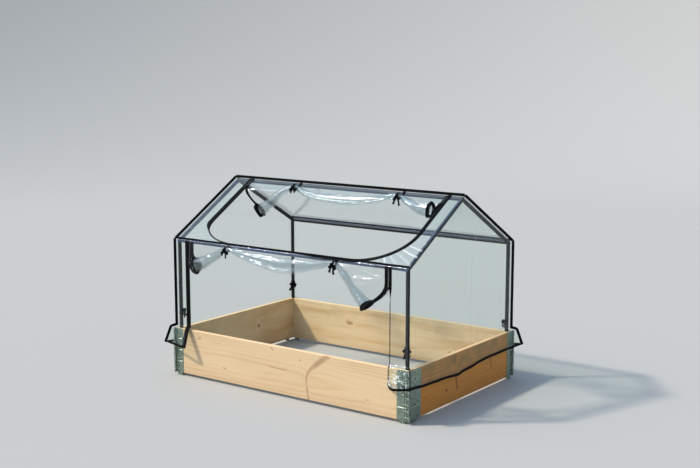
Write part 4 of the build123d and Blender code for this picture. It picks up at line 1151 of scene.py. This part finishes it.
flapGap = {"front": 0.002, "roof": 0.0015}  # a flap is this much narrower than its opening on each side
frontWidth = frontZip["left"] + frontZip["right"] - 2 * flapGap["front"]
roofWidth = openingLeft + openingRight - 2 * flapGap["roof"]
zipHold = {"reach": 0.055, "length": frontZip["closedLength"] - 0.004}
flapStart = {"below": 0.002, "out": 0.0002, "roofUp": 0.002, "roofLead": 0.004, "roofLift": 0.0008}


# The front flap starts at the eave, and its sides stay zipped for the closed length
def frontSeam(at):
    x = -frontZip["left"] + flapGap["front"] + at
    hold = (1 - smoothStep(np.minimum(at, frontWidth - at), 0.0, zipHold["reach"])) * zipHold["length"]
    y = np.full_like(x, -wallY - flapStart["out"])
    top = foldZ - flapStart["below"]
    lead = [np.stack([x, y, top - hold * step], axis=-1)
            for step in np.linspace(0, 1, spiral["lead"], endpoint=False)]
    return np.stack([x, y, top - hold], axis=1), np.array(lead)


# The roof flap starts at the end of the strip that stays under the ridge
def roofSeam(at):
    x = -openingLeft + flapGap["roof"] + at
    up = np.full_like(x, slopeLength - roof["top"] + flapStart["roofUp"])
    lead = slopePoint(-1, x, up + flapStart["roofLead"], flapStart["roofLift"])
    return slopePoint(-1, x, up, flapStart["roofLift"]), lead[None]


# A flap leaves its seam along way, meets its roll at the turn arrive and is drop long when let down
flaps = {
    "front": {"node": "front_flap_roll", "roll": frontRoll, "width": frontWidth, "start": frontSeam,
              "way": np.array([0.0, 0.0, -1.0]), "arrive": 0.0, "seed": 1.0,
              "edge": frontZip["tape"], "drop": foldZ - hemZ},
    "roof": {"node": "roof_flap_roll", "roll": roofRoll, "width": roofWidth, "start": roofSeam,
             "way": np.array([0.0, -cos(pitch), -sin(pitch)]), "arrive": atan2(-cos(pitch), sin(pitch)),
             "seed": 2.6, "edge": roof["tape"], "drop": slopeLength - roof["top"] - roof["eaveGap"]},
}
# The left tapes: how much wider than the zip's tape, and how much thicker where it is doubled over
leftBand = {"front": 1.55, "roof": 1.0}
leftGauge = {"front": 1.0, "roof": 3.0}
coilRuns = []
for kind, flap in flaps.items():
    width, edge = flap["width"], flap["edge"]
    places = np.linspace(edge - 0.002, width - edge + 0.002, 300)
    points, uv = rolledGrid(kind, flap, places)
    film = gridObject(kind + "_flap_sheet", points, rolledFilm, uv)
    tapes = []
    for sideName, ends in (("left", (0.0, edge * leftBand[kind])), ("right", (width, width - edge))):
        points, uv = rolledGrid(kind, flap, np.linspace(*ends, 7))
        finish = edgeTape if (kind, sideName) == ("front", "left") else zipTape
        tape = gridObject(kind + "_flap_tape_" + sideName, points, finish, uv)
        solid = tape.modifiers.new("thickness", "SOLIDIFY")
        solid.thickness = frontZip["thickness"] * (leftGauge[kind] if sideName == "left" else 1.0)
        solid.offset = 0
        tapes.append(tape)
        outer = points[:, 0]
        coilRuns.append((outer, unit(np.cross(np.gradient(outer, axis=0), points[:, 1] - points[:, 0]))))
    settle(film, "clear_film", flap["node"])
    for tape in tapes:
        settle(tape, "zip_tape")
print("flaps rolled")

# The two zips of the front wall run down from the eave over the skirt
zipPieces = []
for side, place, wallStop in ((-1, frontZip["left"], leftZipStop), (1, frontZip["right"], rightZipStops[0])):
    lean, top, rim, hem, low = wallStop[1:]
    heights = skirtHeights(top, low, 40, 7, 12)
    reach = skirtReach(heights, rim, hem, low, 2)
    face = zipFace(heights) if side > 0 else np.ones_like(heights)
    sink = np.sqrt(1 - face**2)
    across = np.stack([side * face, -sink, np.zeros_like(face)], axis=1)
    wide = frontZip["tape"] + (frontZip["leftSpare"] if side < 0 else 0.0)
    half = wide / 2
    centres = np.stack([side * (place + half * face) + lean * reach,
                        -wallY - reach + half * sink + frontZip["lift"], heights], axis=1)
    facing = unit(np.cross(unit(np.gradient(centres, axis=0)), across))
    facing *= -np.sign(facing[:, 1:2])
    zipPieces.append(tapeObject("zip", centres, across, facing, wide, frontZip["thickness"], zipTape))
    coilRuns.append((centres - across * half + facing * frontZip["coilOut"], facing))
    stitchRuns.append((centres + across * half * 0.6 + facing * frontZip["stitchOut"], facing))
leftLine = openingEdge(-1, roof["tape"] / 2, slopeTop)
rightLine = openingEdge(1, roof["tape"] / 2, slopeTop)
bottomX = np.linspace(leftLine[0][0], rightLine[0][0], 40)[1:-1]
aroundX = np.concatenate([leftLine[0][::-1], bottomX, rightLine[0]])
aroundUp = np.concatenate([leftLine[1][::-1], np.full(len(bottomX), leftLine[1][0]), rightLine[1]])
around = slopePoint(-1, aroundX, aroundUp, 0.0002)
inward = -unit(np.cross(unit(np.gradient(around, axis=0)), slopeOut))
inward *= np.sign(np.sum(inward * (slopePoint(-1, 0.0, slopeLength * 0.6) - around), axis=1, keepdims=True))
# The tape lies flat up the left side and round the right corner, and stands on edge round the left one
straightLeft = smoothStep(aroundUp, roof["leftUp"] * 0.5, roof["leftUp"] * 1.05) * (aroundX < 0)
inner = around + inward * (roof["tape"] / 2 + roof["leftSpare"] * straightLeft)[:, None]
shownShare = {"onEdge": 0.24, "middle": 0.45, "right": 0.95, "left": 1.6}  # of the tape's shown width
shownLeft = blend(shownShare["onEdge"], shownShare["left"], straightLeft)
shownRight = blend(shownShare["middle"], shownShare["right"], smoothStep(aroundX, -0.1, 0.3))
shownFoot = blend(shownShare["onEdge"], shownShare["middle"], smoothStep(aroundX, -0.35, 0.0))
shown = np.where(aroundX < 0, np.where(aroundUp > 0.03, shownLeft, shownFoot), shownRight)
shownWidth = roof["shownTape"] * shown
around = inner - inward * (shownWidth / 2)[:, None]
zipPieces.append(tapeObject("zip", around, inward, slopeOut, shownWidth, frontZip["thickness"], zipTape))
coilRuns.append((inner + slopeOut * frontZip["coilOut"], np.broadcast_to(slopeOut, around.shape)))
stitchLine = around - inward * roof["tape"] * 0.2 + slopeOut * frontZip["stitchOut"]
stitchRuns.append((stitchLine, np.broadcast_to(slopeOut, around.shape)))
# Both halves of the roof zip stay closed beside the strip under the ridge
closedZip = {"overlap": 0.002, "belowRidge": 0.006, "points": 12, "lift": 0.0012, "wobble": 0.0006,
             "coilOut": 0.0008}
for x in (-openingLeft, openingRight):
    up = np.linspace(slopeLength - roof["top"] - closedZip["overlap"], slopeLength - closedZip["belowRidge"],
                     closedZip["points"])
    line = slopePoint(-1, np.full_like(up, x), up, closedZip["lift"])
    wobble = closedZip["wobble"] * np.sin(np.arange(closedZip["points"]) * 1.9 + x * 9)
    line = line + slopeOut * wobble[:, None]
    zipPieces.append(tapeObject("zip", line, (1, 0, 0), slopeOut, roof["closedWidth"], frontZip["thickness"],
                                coveredTape))
    coilRuns.append((line + slopeOut * closedZip["coilOut"], np.broadcast_to(slopeOut, line.shape)))
settle(joinPieces(zipPieces, "zip_tapes"), "zip_tape", "front_zips", "roof_zip")


# A mesh of open chains whose points carry the way that they face
def chainMesh(name, runs):
    vertices, edges, facings = [], [], []
    for points, facing in runs:
        first = len(vertices)
        vertices += [tuple(point) for point in points]
        edges += [(first + k, first + k + 1) for k in range(len(points) - 1)]
        facings += [tuple(way) for way in np.broadcast_to(facing, points.shape)]
    mesh = bpy.data.meshes.new(name)
    mesh.from_pydata(vertices, edges, [])
    layer = mesh.attributes.new("facing", "FLOAT_VECTOR", "POINT")
    layer.data.foreach_set("vector", np.array(facings).ravel())
    chain = bpy.data.objects.new(name, mesh)
    scene.collection.objects.link(chain)
    return chain


def treeWithInputs(name, floats, vectors):
    tree = bpy.data.node_groups.new(name, "GeometryNodeTree")
    tree.interface.new_socket("Geometry", in_out="INPUT", socket_type="NodeSocketGeometry")
    keys = {}
    for kind, labels in (("NodeSocketFloat", floats), ("NodeSocketVector", vectors),
                         ("NodeSocketMaterial", ["Finish"])):
        for label in labels:
            keys[label] = tree.interface.new_socket(label, in_out="INPUT", socket_type=kind).identifier
    tree.interface.new_socket("Geometry", in_out="OUTPUT", socket_type="NodeSocketGeometry")
    return tree, keys, partial(addNode, tree)


# Small rounded grains set at even steps along every chain, standing on the way it faces
def grainTree():
    tree, keys, add = treeWithInputs("grains along a seam", ["Pitch"], ["Grain Size"])
    given = add("NodeGroupInput").outputs
    curve = add("GeometryNodeMeshToCurve", {"Mesh": given["Geometry"]})
    spots = add("GeometryNodeCurveToPoints", {"Curve": curve, "Length": given["Pitch"]}, mode="LENGTH")
    facing = add("GeometryNodeInputNamedAttribute", {"Name": "facing"}, data_type="FLOAT_VECTOR")
    turn = add("FunctionNodeAxesToRotation",
               {"Primary Axis": facing, "Secondary Axis": spots.outputs["Tangent"]}, primary_axis="Z",
               secondary_axis="X")
    grain = add("GeometryNodeMeshUVSphere", {"Segments": 6, "Rings": 4, "Radius": 0.5})
    smooth = add("GeometryNodeSetShadeSmooth", {"Geometry": grain})
    placed = add("GeometryNodeInstanceOnPoints",
                 {"Points": spots, "Instance": smooth, "Rotation": turn, "Scale": given["Grain Size"]})
    real = add("GeometryNodeRealizeInstances", {"Geometry": placed})
    finish = add("GeometryNodeSetMaterial", {"Geometry": real, "Material": given["Finish"]})
    add("NodeGroupOutput", {"Geometry": finish})
    return tree, keys


# A rivet on every point: a low dome on a washer
def rivetTree():
    tree, keys, add = treeWithInputs("rivets on a leaf", ["Head Radius", "Head Height"], [])
    given = add("NodeGroupInput").outputs
    points = add("GeometryNodeMeshToPoints", {"Mesh": given["Geometry"]})
    facing = add("GeometryNodeInputNamedAttribute", {"Name": "facing"}, data_type="FLOAT_VECTOR")
    turn = add("FunctionNodeAxesToRotation", {"Primary Axis": facing, "Secondary Axis": (0, 0, 1)},
               primary_axis="Z", secondary_axis="X")
    dome = add("GeometryNodeMeshUVSphere", {"Segments": 16, "Rings": 8, "Radius": given["Head Radius"]})
    height = add("Math", {0: given["Head Height"], 1: given["Head Radius"]}, operation="DIVIDE")
    flatten = add("CombineXYZ", {"X": 0.86, "Y": 0.86, "Z": height})
    low = add("GeometryNodeTransform", {"Geometry": dome, "Scale": flatten})
    rim = add("GeometryNodeMeshCylinder", {"Vertices": 20, "Radius": given["Head Radius"], "Depth": 0.0007})
    head = add("GeometryNodeJoinGeometry", {"Geometry": low})
    tree.links.new(rim.outputs["Mesh"], head.inputs["Geometry"])
    smooth = add("GeometryNodeSetShadeSmooth", {"Geometry": head})
    placed = add("GeometryNodeInstanceOnPoints", {"Points": points, "Instance": smooth, "Rotation": turn})
    real = add("GeometryNodeRealizeInstances", {"Geometry": placed})
    finish = add("GeometryNodeSetMaterial", {"Geometry": real, "Material": given["Finish"]})
    add("NodeGroupOutput", {"Geometry": finish})
    return tree, keys


# Runs a tree on a chain once and keeps the plain mesh that it makes
def growOn(chain, tree, keys, values):
    modifier = chain.modifiers.new("growth", "NODES")
    modifier.node_group = tree
    for label, value in values.items():
        modifier[keys[label]] = value
    grown = bpy.data.meshes.new_from_object(chain.evaluated_get(bpy.context.evaluated_depsgraph_get()))
    chain.modifiers.remove(modifier)
    chain.data = grown
    return chain


grains, grainKeys = grainTree()
coil = {"Pitch": 0.0028, "Grain Size": (0.0017, 0.0036, 0.0021), "Finish": coilPlastic}
# Stitches are drawn 4.8 mm apart, where real ones are 3 mm, so that they show
stitch = {"Pitch": 0.0048, "Grain Size": (0.0034, 0.0009, 0.0007), "Finish": sewingThread}
zipCoils = growOn(chainMesh("zip_coils", coilRuns), grains, grainKeys, coil)
stitches = growOn(chainMesh("seam_stitches", stitchRuns), grains, grainKeys, stitch)
rivets, rivetKeys = rivetTree()
rivetSize = {"Head Radius": 0.0036, "Head Height": 0.0017,
             "Finish": zincMaterial("rusted rivet heads", rivetRust)}
rivetRuns = [(np.array([spot]), np.array(way)) for spot, way in rivetPlaces]
heads = growOn(chainMesh("hinge_rivets", rivetRuns), rivets, rivetKeys, rivetSize)
for piece, slotName in ((zipCoils, "zip_tape"), (stitches, "woven_tape"), (heads, "galvanised_steel")):
    settle(piece, slotName)
print("teeth, stitches and rivets set")

slider = {"width": 0.0095, "length": 0.015, "height": 0.0055, "taper": 0.28, "corner": 0.6,
          "pull": 0.024, "pullWidth": 0.006, "pullCorner": 0.5, "wire": 0.0012, "belowClosed": 0.004,
          "out": 0.003, "roofOut": 0.004}


# Cosine and sine of a turn, pushed out towards the corners of a square
def squared(turn, corner):
    return [np.sign(wave) * np.abs(wave) ** corner for wave in (np.cos(turn), np.sin(turn))]


# A slider's body is a rounded wedge with a raised crown, and its pull is a flat loop of wire
def zipSlider(place, down, facing, swing):
    place, down, facing = np.array(place, float), unit(np.array(down, float)), unit(np.array(facing, float))
    across = np.cross(down, facing)
    turn = np.linspace(0, 2 * pi, 20, endpoint=False)
    wide, tall = squared(turn, slider["corner"])
    rings = []
    for t in np.linspace(0, 1, 9):
        taper = 1 - slider["taper"] + slider["taper"] * (1 - t)
        width = slider["width"] / 2 * taper * sin(pi * (0.12 + 0.76 * t)) ** 0.3
        height = slider["height"] / 2 * sin(pi * (0.10 + 0.80 * t)) ** 0.4
        centre = place + down * (t - 0.5) * slider["length"]
        rings.append(centre + np.outer(wide * width, across) + np.outer(tall * height, facing))
    body = gridObject("slider", np.array(rings), sliderMetal, wrap=True, caps=True)
    hangWay = unit(down * cos(swing) + across * sin(swing))
    sideways = np.cross(hangWay, facing)
    middle = place + facing * (slider["height"] / 2 + slider["wire"]) + hangWay * slider["pull"] / 2
    wide, tall = squared(turn, slider["pullCorner"])
    loop = middle + np.outer(wide * slider["pull"] / 2, hangWay)
    loop = loop + np.outer(tall * slider["pullWidth"] / 2, sideways)
    pull = tapeObject("slider", loop, unit(loop - middle), facing, slider["wire"] * 1.4, slider["wire"],
                      sliderMetal, closed=True)
    return [body, pull]


sliderPieces = []
sliderZ = foldZ - frontZip["closedLength"] - slider["belowClosed"]
for side, place in ((-1, frontZip["left"]), (1, frontZip["right"])):
    spot = (side * place, -wallY - slider["out"], sliderZ)
    sliderPieces += zipSlider(spot, (0, 0, -1), (0, -1, 0), 0.15 * side)
for x in (-openingLeft, openingRight):
    spot = slopePoint(-1, x, slopeLength - roof["top"] - slider["belowClosed"], slider["roofOut"])
    sliderPieces += zipSlider(spot, (0, -cos(pitch), -sin(pitch)), slopeOut, 0.2)
settle(joinPieces(sliderPieces, "zip_sliders"), "black_plastic")
print("zips fitted")

tie = {"width": 0.012, "thickness": 0.0012, "gap": 0.0008, "tail": 0.040, "loop": 0.023,
       "loopShare": 0.85, "tailShare": 0.9, "knotWidth": 0.0125, "knotThickness": 0.0026, "knotOut": 0.0045,
       "postHeight": 0.285, "lowPostHeight": 0.252, "postReach": 1.9, "strapOut": 0.0055,
       "strapLift": 0.0012, "strapLow": 0.050, "strapHigh": 0.001, "loopOut": 0.0035, "loopBulge": 0.0048,
       "knotAcross": 0.0072, "knotDeep": 0.0050}
tieObjects = []
upright = np.array([0, 0, 1.0])


def addTie(name, centres, across, facing, share=1.0, closed=False):
    tieObjects.append(tapeObject(name, centres, across, facing, tie["width"] * share, tie["thickness"],
                                 tieTape, closed))


# Tape that runs along centres, its width as near to the wanted way as the run allows
def addTwisted(centres, wanted, share):
    run = unit(np.gradient(centres, axis=0))
    width = unit(wanted - run * np.sum(run * wanted, axis=1, keepdims=True))
    addTie("bow", centres, width, np.cross(run, width), share)


# A bow of flat tape: two drooping loops, two tails and a turn of tape over the crossing
def tieBow(place, facing, seed):
    dice = np.random.default_rng(seed)
    facing = unit(np.array(facing, float))
    across = unit(np.cross(upright, facing))
    for side in (-1, 1):
        lean, size = dice.uniform(0.35, 0.95), tie["loop"] * dice.uniform(0.8, 1.15)
        t = np.linspace(0, 1, 24)
        out = np.sin(pi * t) ** 0.8
        loop = np.outer(side * size * cos(lean) * out, across) - np.outer(size * sin(lean) * out, upright)
        loop = place + loop + np.outer(tie["loopOut"] + tie["loopBulge"] * np.sin(2 * pi * t), facing)
        twist = facing * dice.uniform(-0.5, 0.5)
        addTwisted(loop, unit(upright * cos(lean) + across * side * sin(lean) + twist), tie["loopShare"])
        t = np.linspace(0, 1, 18)
        length, swing = tie["tail"] * dice.uniform(0.6, 1.0), dice.uniform(0.1, 0.35)
        sway = side * (0.003 + length * swing * t) + 0.002 * np.sin(5 * t + seed)
        tail = np.outer(sway, across) - np.outer(length * t, upright)
        tail = place + tail + np.outer(tie["knotOut"] + 0.0015 * np.sin(4 * t + side), facing)
        addTwisted(tail, unit(across + facing * 0.35 * np.sin(3 * t + seed)[:, None]), tie["tailShare"])
    turn = np.linspace(0, 2 * pi, 25)[:-1]
    core = place + facing * tie["knotOut"]
    ring = core + np.outer(tie["knotAcross"] * np.cos(turn), across)
    ring = ring + np.outer(tie["knotDeep"] * np.sin(turn), facing)
    tieObjects.append(tapeObject("bow", ring, unit(upright + across * 0.3), unit(ring - core),
                                 tie["knotWidth"], tie["knotThickness"], tieTape, closed=True))


# Each flap's neck is held by a band and a bow, which hang from a strap that is sewn in at the fold
turn = np.linspace(0, 2 * pi, 41)[:-1]
radial = np.stack([np.zeros_like(turn), np.cos(turn), np.sin(turn)], axis=1)
bandRadius = neck + tie["gap"] + tie["thickness"] / 2
for roll, onSlope, seedBase in ((frontRoll, False, 100), (roofRoll, True, 200)):
    for k, spot in enumerate(roll[np.isclose(roll[:, 3], neck)][:, :3]):
        addTie("band", spot + radial * bandRadius, (1, 0, 0), radial, closed=True)
        tieBow(spot + np.array([0, -bandRadius, 0]), (0, -1, 0), seedBase + k)
        if onSlope:
            up = np.linspace(slopeLength - tie["strapLow"], slopeLength - tie["strapHigh"], 14)
            strap = slopePoint(-1, spot[0], up, tie["strapLift"])
            addTie("strap", strap, (1, 0, 0), slopeOut)
        else:
            strapY = -wallY - tie["strapOut"]
            strap = straightRun((spot[0], strapY, spot[2] + 0.004), (spot[0], strapY, foldZ + 0.001), 0.003)
            addTie("strap", strap, (1, 0, 0), (0, -1, 0))
for corner in corners:
    sideX, sideY = cornerSides(corner)
    height = tie["lowPostHeight" if corner == "back_right" else "postHeight"]
    post = np.array([sideX * postTube.x, -sideY * postTube.y, height])
    facing = unit(np.array([-sideX, -sideY, 0.0]))
    across = np.cross(upright, facing)
    arc = np.linspace(-tie["postReach"], tie["postReach"], 26)
    radial = np.outer(np.cos(arc), facing) + np.outer(np.sin(arc), across)
    reach = tubeRadius + tie["gap"]
    addTie("band", post + radial * reach, (0, 0, 1), radial)
    tieBow(post + facing * (reach + 0.001), facing, 300 + sideX + 2 * sideY)
# One more short tape holds the left zip's edge to its post
crossTie = {"inset": 0.004, "behind": 0.003, "postZ": 0.272, "zipZ": 0.268, "share": 0.8}
postEnd = (-wallX + crossTie["inset"], -wallY + crossTie["behind"], crossTie["postZ"])
zipEnd = (-frontZip["left"] - crossTie["inset"], -wallY + crossTie["behind"], crossTie["zipZ"])
addTie("strap", straightRun(postEnd, zipEnd, 0.004), (0, 0, 1), (0, 1, 0), crossTie["share"])
settle(joinPieces(tieObjects, "tie_bows"), "woven_tape", "tie_tapes")
print("ties knotted")

placeCamera()
layFloor()
hangSun()
paintSky()
scene.view_settings.view_transform = "Standard"
print("studio set")
